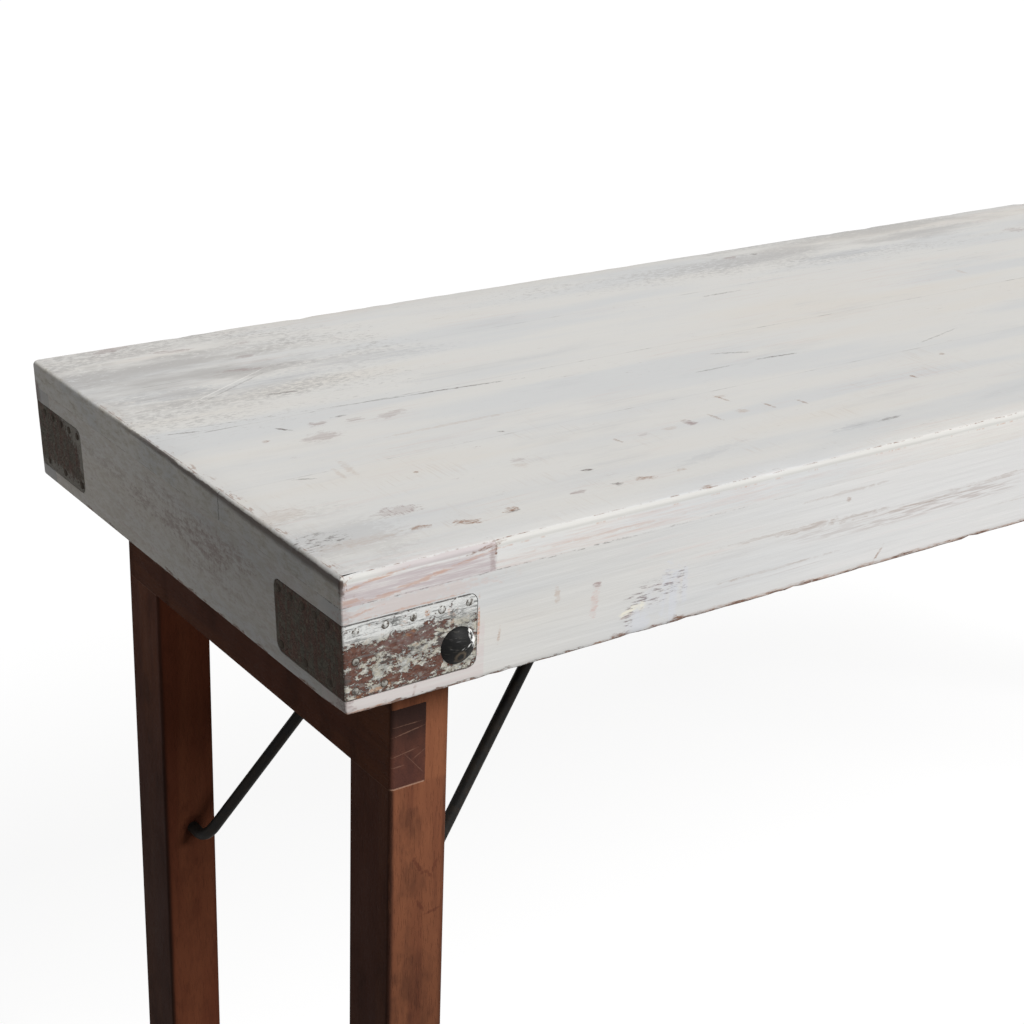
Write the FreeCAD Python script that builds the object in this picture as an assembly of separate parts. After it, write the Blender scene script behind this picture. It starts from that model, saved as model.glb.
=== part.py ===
import FreeCAD, Part
import math
import os

# Folding console table. A boxed top of planks and aprons stands on two leg frames.
# Each frame turns on two coach bolts and folds inwards, into the box under the planks.
# An iron stay, bent from one rod, turns in the legs and hooks into a catch under the top.
# Millimetres. X runs along the table, the front is -Y and Z is up.
# The origin is on the floor under the middle of the top.

# Boxed top
table_length = 1800.0
table_depth = 460.0
table_height = 770.0
end_rake = 4.4  # each end leans in by this much from the top surface to the aprons' lower edge
top_round = 4.0  # worn edge round the top surface
plank_thick = 20.0
front_plank_wide = 150.0
middle_plank_wide = 105.0  # each of the two in the middle; the rear one takes what is left
apron_deep = 72.0
apron_thick = 28.0
end_apron_thick = 26.0  # at the lower edge, where it is thinnest
repair_long = 110.0  # piece let into the front edge of the top at the left corner
repair_deep = 28.0

# Cross battens under the planks
batten_wide = 60.0
batten_thick = 20.0
batten_ease = 2.0
batten_before_crossbar = 13.0  # from a batten's outer edge to the middle of the stay's crossbar

# Iron straps let in round the corners
strap_wide = 50.0
strap_thick = 2.0
strap_above_edge = 10.5  # from the aprons' lower edge
strap_front_reach = 97.0
strap_end_reach = 83.0
strap_round = 6.0

# Pivots: coach bolts through the straps, the aprons and the legs
pivot_from_end = 83.5
pivot_above_edge = 28.0
bolt_diameter = 9.5
bolt_head_diameter = 22.0
bolt_head_high = 7.0
bolt_neck_long = 8.0
bolt_tip = 3.0  # thread that shows past the nut
spacer_diameter = 30.0
spacer_thick = 5.0
washer_diameter = 25.0
washer_thick = 2.0
washer_play = 0.25  # round the bolt
nut_across_flats = 14.3
nut_high = 8.0
nut_chamfer = 0.8

# Leg frames
leg_wide = 44.0  # along the table
leg_thick = 52.0
leg_outside_pivot = 26.5  # from the pivot to the face of the leg nearest the table's end
leg_above_pivot = 22.0
leg_ease = 3.0  # rounding of the legs' long edges
leg_top_round = 12.0
upper_rail_high = 58.0
upper_rail_thick = 26.0
upper_rail_drop = 26.0  # from the aprons' lower edge to the rail
lower_rail_high = 45.0
lower_rail_thick = 24.0
lower_rail_up = 120.0
rail_ease = 1.5

# Stays: one iron rod each, bent to an open trapezoid
stay_diameter = 9.5
stay_hole_below_pivot = 325.0
stay_hole_from_face = 23.5  # from the leg's outer face
stay_inset = 22.0  # from the leg's inner face to the middle of the rod
stay_tail = 33.0  # how far the rod's end goes into the leg
stay_hole_spare = 2.0  # of the hole, past the rod's end
stay_bend = 14.0
stay_sides = 12
bend_steps = 4  # flats along each bend
crossbar_reach = 259.5  # from the pivot, along the table
crossbar_long = 126.0
crossbar_play = 2.25  # between the crossbar and the catch's plate

# Catches: an iron strip each, screwed under a batten and hooked round the crossbar
catch_wide = 20.0
catch_thick = 3.0
catch_play = 0.5  # between the crossbar and the hook
catch_lip = 8.0
catch_plate_long = 50.0  # past the crossbar
catch_bend = 2.5

# Folding: how far each part turns, in degrees
leg_fold = 90.0
stay_fold = 140.0

# Fits
turning_play = 0.05  # between a shaft and its hole, on the radius
face_play = 0.3  # between faces that turn past each other

# Nails, screws and the bolts' heads and rings
round_sides = 12
dome_steps = 4
nail_sides = 4
screw_sides = 6
strap_nail_long = 12.0
strap_nail_diameter = 2.4
strap_nail_head = 5.0
strap_nail_proud = 0.8
strap_nail_edge = 5.5  # from the strap's edges
plank_nail_long = 48.0
plank_nail_wide = 3.0  # cut nails, square, tapering to half at the point
plank_nail_sunk = 2.5
plank_nail_pitch = 190.0
rail_nail_long = 38.0
rail_nail_diameter = 3.0
rail_nail_head = 6.0
rail_nail_head_thick = 1.0
rail_nail_edge = 12.0
screw_diameter = 4.0
screw_head = 8.0
screw_slot_wide = 1.1
screw_slot_deep = 1.0
batten_screw_long = 34.0
batten_screw_stagger = 14.0
catch_screw_long = 16.0
catch_screw_pitch = 20.0
catch_screw_edge = 8.0

# Where things lie, worked out from the sizes above
box_deep = plank_thick + apron_deep
box_bottom = table_height - box_deep
planks_bottom = table_height - plank_thick
battens_bottom = planks_bottom - batten_thick
half_length = table_length / 2
half_depth = table_depth / 2
apron_inside = half_depth - apron_thick
end_apron_inside = half_length - end_rake - end_apron_thick
pivot_x = -half_length + pivot_from_end
pivot_z = box_bottom + pivot_above_edge
leg_outer_x = pivot_x - leg_outside_pivot
leg_inner_x = leg_outer_x + leg_wide
leg_front_y = -apron_inside + spacer_thick + face_play
leg_back_y = leg_front_y + leg_thick
leg_top_z = pivot_z + leg_above_pivot
upper_rail_top = box_bottom - upper_rail_drop
stay_hole_x = leg_outer_x + stay_hole_from_face
stay_hole_z = pivot_z - stay_hole_below_pivot
crossbar_x = pivot_x + crossbar_reach
crossbar_z = battens_bottom - catch_thick - crossbar_play - stay_diameter / 2
rake_angle = math.degrees(math.atan2(end_rake, box_deep))

along_x = FreeCAD.Vector(1, 0, 0)
along_y = FreeCAD.Vector(0, 1, 0)
up = FreeCAD.Vector(0, 0, 1)
beyond = 50.0  # how far cutting shapes run past what they cut

nodes = {}


# Shapes that several pieces share


def block(x_range, y_range, z_range):
    corner = FreeCAD.Vector(x_range[0], y_range[0], z_range[0])
    size = [high - low for low, high in (x_range, y_range, z_range)]
    return Part.makeBox(size[0], size[1], size[2], corner)


def edges_along(shape, direction):
    found = []
    for edge in shape.Edges:
        run = edge.Vertexes[-1].Point - edge.Vertexes[0].Point
        if run.Length > 0 and abs(run.normalize().dot(direction)) > 0.99:
            found.append(edge)
    return found


def to_right(shape):
    return shape.mirror(FreeCAD.Vector(0, 0, 0), along_x)


def to_rear(shape):
    return shape.mirror(FreeCAD.Vector(0, 0, 0), along_y)


def front_and_rear(shapes):
    return list(shapes) + [to_rear(shape) for shape in shapes]


def four_corners(shapes):
    left = front_and_rear(shapes)
    return left + [to_right(shape) for shape in left]


def skinned(rings):
    """A solid with flat faces from each closed ring of points to the next, shut by the end rings."""
    faces = [Part.Face(Part.makePolygon(rings[0])), Part.Face(Part.makePolygon(rings[-1]))]
    for lower, upper in zip(rings, rings[1:]):
        for side in range(len(lower) - 1):
            corners = [lower[side], lower[side + 1], upper[side + 1], upper[side], lower[side]]
            faces.append(Part.Face(Part.makePolygon(corners)))
    solid = Part.makeSolid(Part.makeShell(faces))
    if solid.Volume < 0:
        solid.reverse()
    return solid


def ring_of_points(radius, height, sides):
    angles = [2 * math.pi * side / sides for side in range(sides + 1)]
    return [FreeCAD.Vector(radius * math.cos(a), radius * math.sin(a), height) for a in angles]


def faceted(outline, sides):
    """A small fastener with flat sides, stacked from (radius, height) points along the Z axis."""
    return skinned([ring_of_points(radius, height, sides) for radius, height in outline])


def dome_outline(radius, high):
    """Points on a dome whose flat side is at height 0 and whose crown is at -high."""
    sphere_radius = (radius**2 + high**2) / (2 * high)
    whole_angle = math.asin(radius / sphere_radius)
    angles = [whole_angle * step / dome_steps for step in range(1, dome_steps + 1)]
    return [(sphere_radius * math.sin(a), sphere_radius * (1 - math.cos(a)) - high) for a in angles]


def driven(fastener, head_at, direction):
    """Moves a fastener made head down at the origin, pointing up, to where it is driven."""
    moved = fastener.copy()
    moved.Placement = FreeCAD.Placement(head_at, FreeCAD.Rotation(up, direction))
    return moved


def group(shapes):
    return Part.makeCompound(list(shapes))


# The box: its outside, the face of its left end, and what is sawn from it


def box_outside(inset):
    """The outside of the box with its leaning ends, or the same set in all round."""
    top_half = half_length - inset
    bottom_half = top_half - end_rake
    front_y = -half_depth + inset
    corners = [
        FreeCAD.Vector(-top_half, front_y, table_height),
        FreeCAD.Vector(top_half, front_y, table_height),
        FreeCAD.Vector(bottom_half, front_y, box_bottom),
        FreeCAD.Vector(-bottom_half, front_y, box_bottom),
    ]
    face = Part.Face(Part.makePolygon(corners + corners[:1]))
    return face.extrude(along_y * (-2 * front_y))


def left_end_x(z):
    return -half_length + end_rake * (table_height - z) / box_deep


def worn_box():
    box = box_outside(0)
    level = table_height - 0.001
    top_edges = [edge for edge in box.Edges if edge.BoundBox.ZMin > level]
    return box.makeFillet(top_round, top_edges)


box = worn_box()
whole_length = (-half_length - beyond, half_length + beyond)
apron_band = (box_bottom - beyond, planks_bottom)
plank_band = (planks_bottom, table_height + beyond)
rake = FreeCAD.Rotation(along_y, rake_angle)
into_end = rake.multVec(along_x)  # square to the left end's face


# Corner straps: bent iron strip, as thick as the recess that it lies in


def corner_strap():
    strap_bottom = box_bottom + strap_above_edge
    band = (strap_bottom, strap_bottom + strap_wide)
    skin = box_outside(0).cut(box_outside(strap_thick))
    front_end = -half_length + strap_front_reach
    side_end = -half_depth + strap_end_reach
    bend_x = -half_length + end_rake + strap_thick
    bend_y = -half_depth + strap_thick
    front = block((-half_length - beyond, front_end), (-half_depth - beyond, bend_y), band)
    side = block((-half_length - beyond, bend_x), (-half_depth - beyond, side_end), band)
    front_corners = [e for e in edges_along(front, along_y) if e.BoundBox.XMin > front_end - 1]
    side_corners = [e for e in edges_along(side, along_x) if e.BoundBox.YMin > side_end - 1]
    front = front.makeFillet(strap_round, front_corners)
    side = side.makeFillet(strap_round, side_corners)
    return skin.common(front.fuse(side)).removeSplitter()


def strap_nail():
    head_radius = strap_nail_head / 2
    crown_radius = head_radius - strap_nail_proud
    shank_radius = strap_nail_diameter / 2
    outline = [(crown_radius, -strap_nail_proud), (head_radius, 0), (shank_radius, 0)]
    return faceted(outline + [(shank_radius, strap_nail_long)], nail_sides)


def strap_nails_at_corner():
    """Nails along the strap's upper edge on both faces, and fewer along its lower edge."""
    strap_bottom = box_bottom + strap_above_edge
    upper_z = strap_bottom + strap_wide - strap_nail_edge
    lower_z = strap_bottom + strap_nail_edge
    middle_z = strap_bottom + strap_wide / 2
    front_first = 2 * strap_nail_edge
    side_first = strap_nail_long + strap_nail_edge  # clear of the front nails' points
    front_last = strap_front_reach - strap_nail_edge
    side_last = strap_end_reach - strap_nail_edge
    upper_count = 5
    nail = strap_nail()
    nails = []
    for number in range(upper_count):
        share = number / (upper_count - 1)
        front_x = -half_length + front_first + share * (front_last - front_first)
        side_y = -half_depth + side_first + share * (side_last - side_first)
        front_spots = [upper_z]
        if number < 2:
            front_spots.append(lower_z)
        if number == 0:
            front_spots.append(middle_z)
        for z in front_spots:
            nails.append(driven(nail, FreeCAD.Vector(front_x, -half_depth, z), along_y))
        side_spots = [upper_z] if number % 2 else [upper_z, lower_z]
        for z in side_spots:
            nails.append(driven(nail, FreeCAD.Vector(left_end_x(z), side_y, z), into_end))
    return nails


# Pivot bolts with their nuts, washers and spacers


def coach_bolt():
    radius = bolt_diameter / 2
    length = apron_thick + spacer_thick + leg_thick + 2 * face_play + washer_thick + nut_high + bolt_tip
    head = faceted(dome_outline(bolt_head_diameter / 2, bolt_head_high), round_sides)
    neck = block((-radius, radius), (-radius, radius), (0, bolt_neck_long))
    shank = Part.makeCylinder(radius, length)
    return head.fuse([neck, shank]).removeSplitter()


def ring(outer_diameter, inner_diameter, thick):
    disc = faceted([(outer_diameter / 2, 0), (outer_diameter / 2, thick)], round_sides)
    return disc.cut(faceted([(inner_diameter / 2, 0), (inner_diameter / 2, thick)], round_sides))


def hexagon_nut():
    corner_radius = nut_across_flats / math.sqrt(3)
    crown_radius = corner_radius - nut_chamfer
    outline = [(corner_radius, 0), (corner_radius, nut_high - nut_chamfer), (crown_radius, nut_high)]
    return faceted(outline, 6).cut(Part.makeCylinder(bolt_diameter / 2, nut_high))


def on_pivot(shape, y):
    return driven(shape, FreeCAD.Vector(pivot_x, y, pivot_z), along_y)


bolt = on_pivot(coach_bolt(), -half_depth)
hole_in_washer = bolt_diameter + 2 * washer_play
spacer = on_pivot(ring(spacer_diameter, hole_in_washer, spacer_thick), -apron_inside)
washer_y = leg_back_y + face_play
washer = on_pivot(ring(washer_diameter, hole_in_washer, washer_thick), washer_y)
nut = on_pivot(hexagon_nut(), washer_y + washer_thick)
bolts = four_corners([bolt])
strap_nails = four_corners(strap_nails_at_corner())
nodes["pivot_bolts"] = group(bolts)
nodes["leg_spacers"] = group(four_corners([spacer]))
nodes["nut_washers"] = group(four_corners([washer]))
nodes["pivot_nuts"] = group(four_corners([nut]))
nodes["strap_nails"] = group(strap_nails)

plain_strap = corner_strap()
drilled_strap = plain_strap.cut([bolt] + strap_nails_at_corner())
straps = four_corners([plain_strap])
nodes["corner_strap_front_left"] = drilled_strap
nodes["corner_strap_rear_left"] = to_rear(drilled_strap)
nodes["corner_strap_front_right"] = to_right(drilled_strap)
nodes["corner_strap_rear_right"] = to_right(to_rear(drilled_strap))


# Planks and aprons, nailed together through the planks; the nails' heads are sunk and filled


def plank_nail():
    corner_radius = plank_nail_wide / math.sqrt(2)
    return faceted([(corner_radius, 0), (corner_radius / 2, plank_nail_long)], 4)


plank_edges = [-half_depth]
plank_edges.append(plank_edges[-1] + front_plank_wide)
plank_edges.append(plank_edges[-1] + middle_plank_wide)
plank_edges.append(plank_edges[-1] + middle_plank_wide)
plank_edges.append(half_depth)
plank_names = ["front", "mid_front", "mid_rear", "rear"]
between_aprons = [max(-apron_inside, min(apron_inside, edge)) for edge in plank_edges]
plank_middles = [(low + high) / 2 for low, high in zip(between_aprons, between_aprons[1:])]

plank_nails = []
nail_z = table_height - plank_nail_sunk
long_nail_y = half_depth - apron_thick / 2
long_nail_count = int(table_length / plank_nail_pitch)
long_nail_start = -(long_nail_count - 1) * plank_nail_pitch / 2
for number in range(long_nail_count):
    spot = FreeCAD.Vector(long_nail_start + number * plank_nail_pitch, -long_nail_y, nail_z)
    plank_nails += front_and_rear([driven(plank_nail(), spot, up * -1)])
end_nail_x = -(half_length - end_rake + end_apron_inside) / 2
for middle_y in plank_middles:
    spot = FreeCAD.Vector(end_nail_x, middle_y, nail_z)
    end_nail = driven(plank_nail(), spot, up * -1)
    plank_nails += [end_nail, to_right(end_nail)]
nodes["plank_nails"] = group(plank_nails)

repair = box.common(
    block(
        (-half_length - beyond, -half_length + repair_long),
        (-half_depth - beyond, -half_depth + repair_deep),
        plank_band,
    )
)
nodes["edge_repair_piece"] = repair.cut(plank_nails)


def screw(long):
    """A countersunk screw with a slotted head, its head's face at height 0."""
    head_radius = screw_head / 2
    shank_radius = screw_diameter / 2
    neck = (shank_radius, head_radius - shank_radius)
    whole = faceted([(head_radius, 0), neck, (shank_radius, long)], screw_sides)
    slot = block(
        (-head_radius, head_radius), (-screw_slot_wide / 2, screw_slot_wide / 2), (0, screw_slot_deep)
    )
    return whole, whole.cut(slot)


batten_left_x = crossbar_x - batten_before_crossbar + batten_wide / 2
batten_places = {"left": batten_left_x, "middle": 0.0, "right": -batten_left_x}
whole_screw, slotted_screw = screw(batten_screw_long)
batten_screw_holes = []
batten_screws = []
for batten_x in batten_places.values():
    for number, middle_y in enumerate(plank_middles):
        side = 1 if number % 2 else -1
        spot = FreeCAD.Vector(batten_x + side * batten_screw_stagger, middle_y, battens_bottom)
        batten_screw_holes.append(driven(whole_screw, spot, up))
        batten_screws.append(driven(slotted_screw, spot, up))
nodes["batten_screws"] = group(batten_screws)

for name, low, high in zip(plank_names, plank_edges, plank_edges[1:]):
    lower = low - beyond if name == "front" else low
    upper = high + beyond if name == "rear" else high
    plank = box.common(block(whole_length, (lower, upper), plank_band))
    nodes["top_plank_" + name] = plank.cut([repair] + plank_nails + batten_screw_holes)

in_aprons = straps + bolts + strap_nails + plank_nails
long_apron = box.common(block(whole_length, (-half_depth - beyond, -apron_inside), apron_band))
nodes["apron_front"] = long_apron.cut(in_aprons)
nodes["apron_rear"] = to_rear(long_apron).cut(in_aprons)
end_apron = box.common(
    block((-half_length - beyond, -end_apron_inside), (-apron_inside, apron_inside), apron_band)
)
nodes["apron_left"] = end_apron.cut(in_aprons)
nodes["apron_right"] = to_right(end_apron).cut(in_aprons)


# Catches for the stays, with their screws. The hook's mouth faces along the way that the
# crossbar leaves it when the frame starts to fold.

fold_ratio = stay_fold / leg_fold
leave_x = fold_ratio * (crossbar_z - stay_hole_z) - (crossbar_z - pivot_z)
leave_z = (crossbar_x - pivot_x) - fold_ratio * (crossbar_x - stay_hole_x)
leave_angle = math.atan2(leave_z, leave_x)


def catch():
    inner = stay_diameter / 2 + catch_play
    outer = inner + catch_thick
    plate_top = battens_bottom
    plate_bottom = battens_bottom - catch_thick
    plate_end = crossbar_x + catch_plate_long
    centre = FreeCAD.Vector(crossbar_x, -catch_wide / 2, crossbar_z)
    lip_angle = leave_angle - math.pi / 2
    back_angle = -math.pi
    out = FreeCAD.Vector(math.cos(leave_angle), 0, math.sin(leave_angle)) * catch_lip

    def round_bar(radius, angle):
        return centre + FreeCAD.Vector(math.cos(angle), 0, math.sin(angle)) * radius

    middle_angle = (lip_angle + back_angle) / 2
    outline = [
        FreeCAD.Vector(crossbar_x - outer, centre.y, plate_top),
        FreeCAD.Vector(plate_end, centre.y, plate_top),
        FreeCAD.Vector(plate_end, centre.y, plate_bottom),
        FreeCAD.Vector(crossbar_x - inner, centre.y, plate_bottom),
        round_bar(inner, back_angle),
    ]
    edges = [Part.LineSegment(a, b).toShape() for a, b in zip(outline, outline[1:])]
    inner_lip = round_bar(inner, lip_angle)
    outer_lip = round_bar(outer, lip_angle)
    inner_arc = Part.Arc(outline[-1], round_bar(inner, middle_angle), inner_lip)
    outer_arc = Part.Arc(outer_lip, round_bar(outer, middle_angle), round_bar(outer, back_angle))
    edges.append(inner_arc.toShape())
    edges.append(Part.LineSegment(inner_lip, inner_lip + out).toShape())
    edges.append(Part.LineSegment(inner_lip + out, outer_lip + out).toShape())
    edges.append(Part.LineSegment(outer_lip + out, outer_lip).toShape())
    edges.append(outer_arc.toShape())
    edges.append(Part.LineSegment(round_bar(outer, back_angle), outline[0]).toShape())
    strip = Part.Face(Part.Wire(edges)).extrude(along_y * catch_wide)
    outside = crossbar_x - outer + 0.001
    bends = [
        e
        for e in edges_along(strip, along_y)
        if e.BoundBox.XMax < outside and e.BoundBox.ZMin > plate_top - 0.001
    ]
    return strip.makeFillet(catch_bend, bends)


whole_screw, slotted_screw = screw(catch_screw_long)
catch_screw_holes = []
catch_screws = []
for number in range(2):
    screw_x = crossbar_x + catch_plate_long - catch_screw_edge - number * catch_screw_pitch
    spot = FreeCAD.Vector(screw_x, 0, battens_bottom - catch_thick)
    catch_screw_holes.append(driven(whole_screw, spot, up))
    catch_screws.append(driven(slotted_screw, spot, up))
nodes["stay_catch_left"] = catch().cut(catch_screw_holes)
nodes["stay_catch_right"] = to_right(nodes["stay_catch_left"])
nodes["catch_screws"] = group(catch_screws + [to_right(shape) for shape in catch_screws])

in_battens = batten_screw_holes + catch_screw_holes + [to_right(hole) for hole in catch_screw_holes]
for name, batten_x in batten_places.items():
    batten = block(
        (batten_x - batten_wide / 2, batten_x + batten_wide / 2),
        (-apron_inside, apron_inside),
        (battens_bottom, planks_bottom),
    )
    lower_edges = [e for e in edges_along(batten, along_y) if e.BoundBox.ZMax < battens_bottom + 1]
    nodes["batten_" + name] = batten.makeChamfer(batten_ease, lower_edges).cut(in_battens)


# Leg frames: two legs each, with an upper and a lower rail let into their outer faces


def rail(top_z, high, thick):
    """A rail, and the housing for it, which runs from the front leg's face to the rear leg's."""
    x_range = (leg_outer_x, leg_outer_x + thick)
    y_range = (leg_front_y, -leg_front_y)
    z_range = (top_z - high, top_z)
    wood = block(x_range, y_range, z_range)
    housing_x = (leg_outer_x - beyond, x_range[1])
    housing = block(housing_x, (leg_front_y - beyond, -leg_front_y + beyond), z_range)
    outer_ends = [e for e in edges_along(wood, up) if e.BoundBox.XMax < leg_outer_x + 1]
    wood = wood.makeFillet(leg_ease, outer_ends)
    inner_edges = [e for e in edges_along(wood, along_y) if e.BoundBox.XMin > x_range[1] - 1]
    return wood.makeFillet(rail_ease, inner_edges), housing


def rail_nail():
    head_radius = rail_nail_head / 2
    shank_radius = rail_nail_diameter / 2
    outline = [(head_radius, 0), (head_radius, rail_nail_head_thick), (shank_radius, rail_nail_head_thick)]
    return faceted(outline + [(shank_radius, rail_nail_long)], nail_sides)


def nails_in_lap(top_z, high):
    """Three nails through a rail into the front leg, two above and one below."""
    low_z = top_z - high + rail_nail_edge
    high_z = top_z - rail_nail_edge
    near_y = leg_front_y + rail_nail_edge
    far_y = leg_back_y - rail_nail_edge
    middle_y = (near_y + far_y) / 2
    spots = [(near_y, high_z), (far_y, high_z), (middle_y, low_z)]
    return [driven(rail_nail(), FreeCAD.Vector(leg_outer_x, y, z), along_x) for y, z in spots]


def front_leg():
    leg = block((leg_outer_x, leg_inner_x), (leg_front_y, leg_back_y), (0, leg_top_z))
    leg = leg.makeFillet(leg_ease, edges_along(leg, up))
    square_top = block((leg_outer_x, leg_inner_x), (leg_front_y, leg_back_y), (pivot_z, leg_top_z))
    top_edges = [e for e in edges_along(square_top, along_y) if e.BoundBox.ZMin > leg_top_z - 1]
    round_top = square_top.makeFillet(leg_top_round, top_edges)
    leg = leg.cut(square_top.cut(round_top))
    pivot_hole = Part.makeCylinder(
        bolt_diameter / 2 + turning_play,
        leg_thick + 2 * beyond,
        FreeCAD.Vector(pivot_x, leg_front_y - beyond, pivot_z),
        along_y,
    )
    hole_depth = stay_tail + stay_hole_spare
    stay_hole = Part.makeCylinder(
        stay_diameter / 2 + turning_play,
        hole_depth + beyond,
        FreeCAD.Vector(stay_hole_x, leg_back_y - hole_depth, stay_hole_z),
        along_y,
    )
    return leg.cut([pivot_hole, stay_hole])


lower_rail_top = lower_rail_up + lower_rail_high
upper_rail, upper_housing = rail(upper_rail_top, upper_rail_high, upper_rail_thick)
lower_rail, lower_housing = rail(lower_rail_top, lower_rail_high, lower_rail_thick)
lap_nails = nails_in_lap(upper_rail_top, upper_rail_high) + nails_in_lap(lower_rail_top, lower_rail_high)
rail_nails = front_and_rear(lap_nails)
left_frame = {
    "leg_front": front_leg().cut([upper_housing, lower_housing] + rail_nails),
    "upper_rail": upper_rail.cut(rail_nails),
    "lower_rail": lower_rail.cut(rail_nails),
    "rail_nails": group(rail_nails),
}
left_frame["leg_rear"] = to_rear(left_frame["leg_front"])


# Stays


def bent_rod(corners, bend_radius, diameter):
    """A rod along straight runs through the corners, with an arc of bend_radius at each."""
    here = corners[0]
    facing = FreeCAD.Rotation(up, corners[1] - here)
    ring = [here + facing.multVec(point) for point in ring_of_points(diameter / 2, 0, stay_sides)]
    rings = [ring]
    for before, corner, after in zip(corners, corners[1:], corners[2:]):
        back = (before - corner).normalize()
        ahead = (after - corner).normalize()
        half_angle = back.getAngle(ahead) / 2
        setback = bend_radius / math.tan(half_angle)
        centre = corner + (back + ahead).normalize() * (bend_radius / math.sin(half_angle))
        axis = ahead.cross(back).normalize()
        turn = 180 - 2 * math.degrees(half_angle)
        run = corner + back * setback - here
        ring = [point + run for point in ring]
        for step in range(bend_steps + 1):
            turned = FreeCAD.Rotation(axis, turn * step / bend_steps)
            rings.append([centre + turned.multVec(point - centre) for point in ring])
        ring = rings[-1]
        here = corner + ahead * setback
    rings.append([point + corners[-1] - here for point in ring])
    return skinned(rings)


def stay():
    hole_y = leg_back_y - stay_tail
    arm_y = leg_back_y + stay_inset
    bar_y = -crossbar_long / 2
    route = [
        FreeCAD.Vector(stay_hole_x, hole_y, stay_hole_z),
        FreeCAD.Vector(stay_hole_x, arm_y, stay_hole_z),
        FreeCAD.Vector(crossbar_x, bar_y, crossbar_z),
        FreeCAD.Vector(crossbar_x, -bar_y, crossbar_z),
        FreeCAD.Vector(stay_hole_x, -arm_y, stay_hole_z),
        FreeCAD.Vector(stay_hole_x, -hole_y, stay_hole_z),
    ]
    return bent_rod(route, stay_bend, stay_diameter)


left_frame["stay_rod"] = stay()
for name, shape in left_frame.items():
    nodes[name + "_left"] = shape
    nodes[name + "_right"] = to_right(shape)


os.makedirs("parts", exist_ok=True)
for name, rough in nodes.items():
    shape = rough.removeSplitter()
    shape.exportStep(os.path.join("parts", name + ".step"))
    state = "valid" if shape.isValid() else "INVALID"
    print(name, len(shape.Solids), "solids", round(shape.Volume), "mm3", state)
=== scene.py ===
import math

import bmesh
import bpy
from mathutils import Euler, Matrix, Vector, noise


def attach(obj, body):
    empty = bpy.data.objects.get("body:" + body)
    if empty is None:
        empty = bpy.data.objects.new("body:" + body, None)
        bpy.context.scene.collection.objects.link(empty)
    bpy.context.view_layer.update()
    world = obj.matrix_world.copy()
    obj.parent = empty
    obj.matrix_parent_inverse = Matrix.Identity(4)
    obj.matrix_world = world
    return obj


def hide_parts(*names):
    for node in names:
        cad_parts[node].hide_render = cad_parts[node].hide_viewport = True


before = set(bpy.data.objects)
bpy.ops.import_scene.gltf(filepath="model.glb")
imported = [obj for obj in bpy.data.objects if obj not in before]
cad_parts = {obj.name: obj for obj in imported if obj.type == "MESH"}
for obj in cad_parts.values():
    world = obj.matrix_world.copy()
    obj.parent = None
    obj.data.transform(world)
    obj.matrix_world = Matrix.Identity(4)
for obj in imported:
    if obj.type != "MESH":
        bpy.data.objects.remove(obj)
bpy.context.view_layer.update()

# A folding console table: a boxed top of painted planks and aprons with iron corner straps, on two
# stained leg frames that fold in under it, each held open by a bent iron stay. Metres, as in the frame.


# The planks of the top
#
# Four planks lie side by side along the table, and a short piece is let into the front edge at the
# left corner. They are sawn softwood, nailed down, painted off-white over a pinkish first coat, and
# rubbed until the arrises show the wood again.

END_X = 0.9  # the end faces
SIDE_Y = 0.23  # the front and rear faces
TOP = 0.77
JOINT_Z = 0.75  # the planks lie on the aprons
LOW_Z = 0.678  # the aprons end
REACH = 0.8998  # no worn plank stands out past this
END_RAKE = 0.0044
PLANK_EDGES = {
    "front": (-0.23, -0.08),
    "mid_front": (-0.08, 0.025),
    "mid_rear": (0.025, 0.13),
    "rear": (0.13, 0.23),
}
REPAIR_END = -0.79
REPAIR_BACK = -0.202
LEG_FRONT_Y = 0.1967
DEEP = 0.012  # marks keep to the face that they are on
ARRIS = 0.0034
CORNER_ROUND = {-1: 0.0016, 1: 0.005}  # the box's upright corners, front and rear


def block(low, high):
    """A plain block between two corners, to be worked into a piece."""
    low, high = Vector(low), Vector(high)
    shape = bmesh.new()
    bmesh.ops.create_cube(shape, size=1)
    bmesh.ops.scale(shape, vec=high - low, verts=shape.verts)
    bmesh.ops.translate(shape, vec=(low + high) / 2, verts=shape.verts)
    return shape


def edges_where(shape, test):
    return [edge for edge in shape.edges if all(test(vert.co) for vert in edge.verts)]


def rounded(shape, edges, radius, segments):
    bmesh.ops.bevel(
        shape,
        geom=edges,
        offset=radius,
        offset_type="OFFSET",
        affect="EDGES",
        segments=segments,
        profile=0.5,
        material=-1,
    )


def sawn(shape, place, direction, near=0):
    """Cuts the faces where a plane passes through, and keeps both sides."""
    geom = shape.verts[:] + shape.edges[:] + shape.faces[:]
    bmesh.ops.bisect_plane(shape, geom=geom, plane_co=place, plane_no=direction, dist=near)


def sawn_across(shape, along, first, last, pitch):
    """Cuts that give a long piece enough corners to be worn unevenly along it."""
    direction = Vector((0, 0, 0))
    direction[along] = 1
    for number in range(1, round((last - first) / pitch)):
        sawn(shape, direction * (first + number * pitch), direction, 1e-6)


def lean_at(height):
    """How far the end faces lean in at a height."""
    return END_RAKE * (TOP - height) / (TOP - LOW_Z)


def leaning_ends(shape):
    """Both ends of the box lean in towards the bottom."""
    for vert in shape.verts:
        vert.co.x *= 1 - lean_at(vert.co.z) / END_X


def to_outside(co):
    """How far a place on the box is from its nearest upright face."""
    return min(END_X - abs(co.x), SIDE_Y - abs(co.y))


def to_middle(co):
    """The direction from a place to the middle of the box, one step along X and one along Y."""
    return Vector((-math.copysign(1, co.x), -math.copysign(1, co.y), 0))


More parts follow.
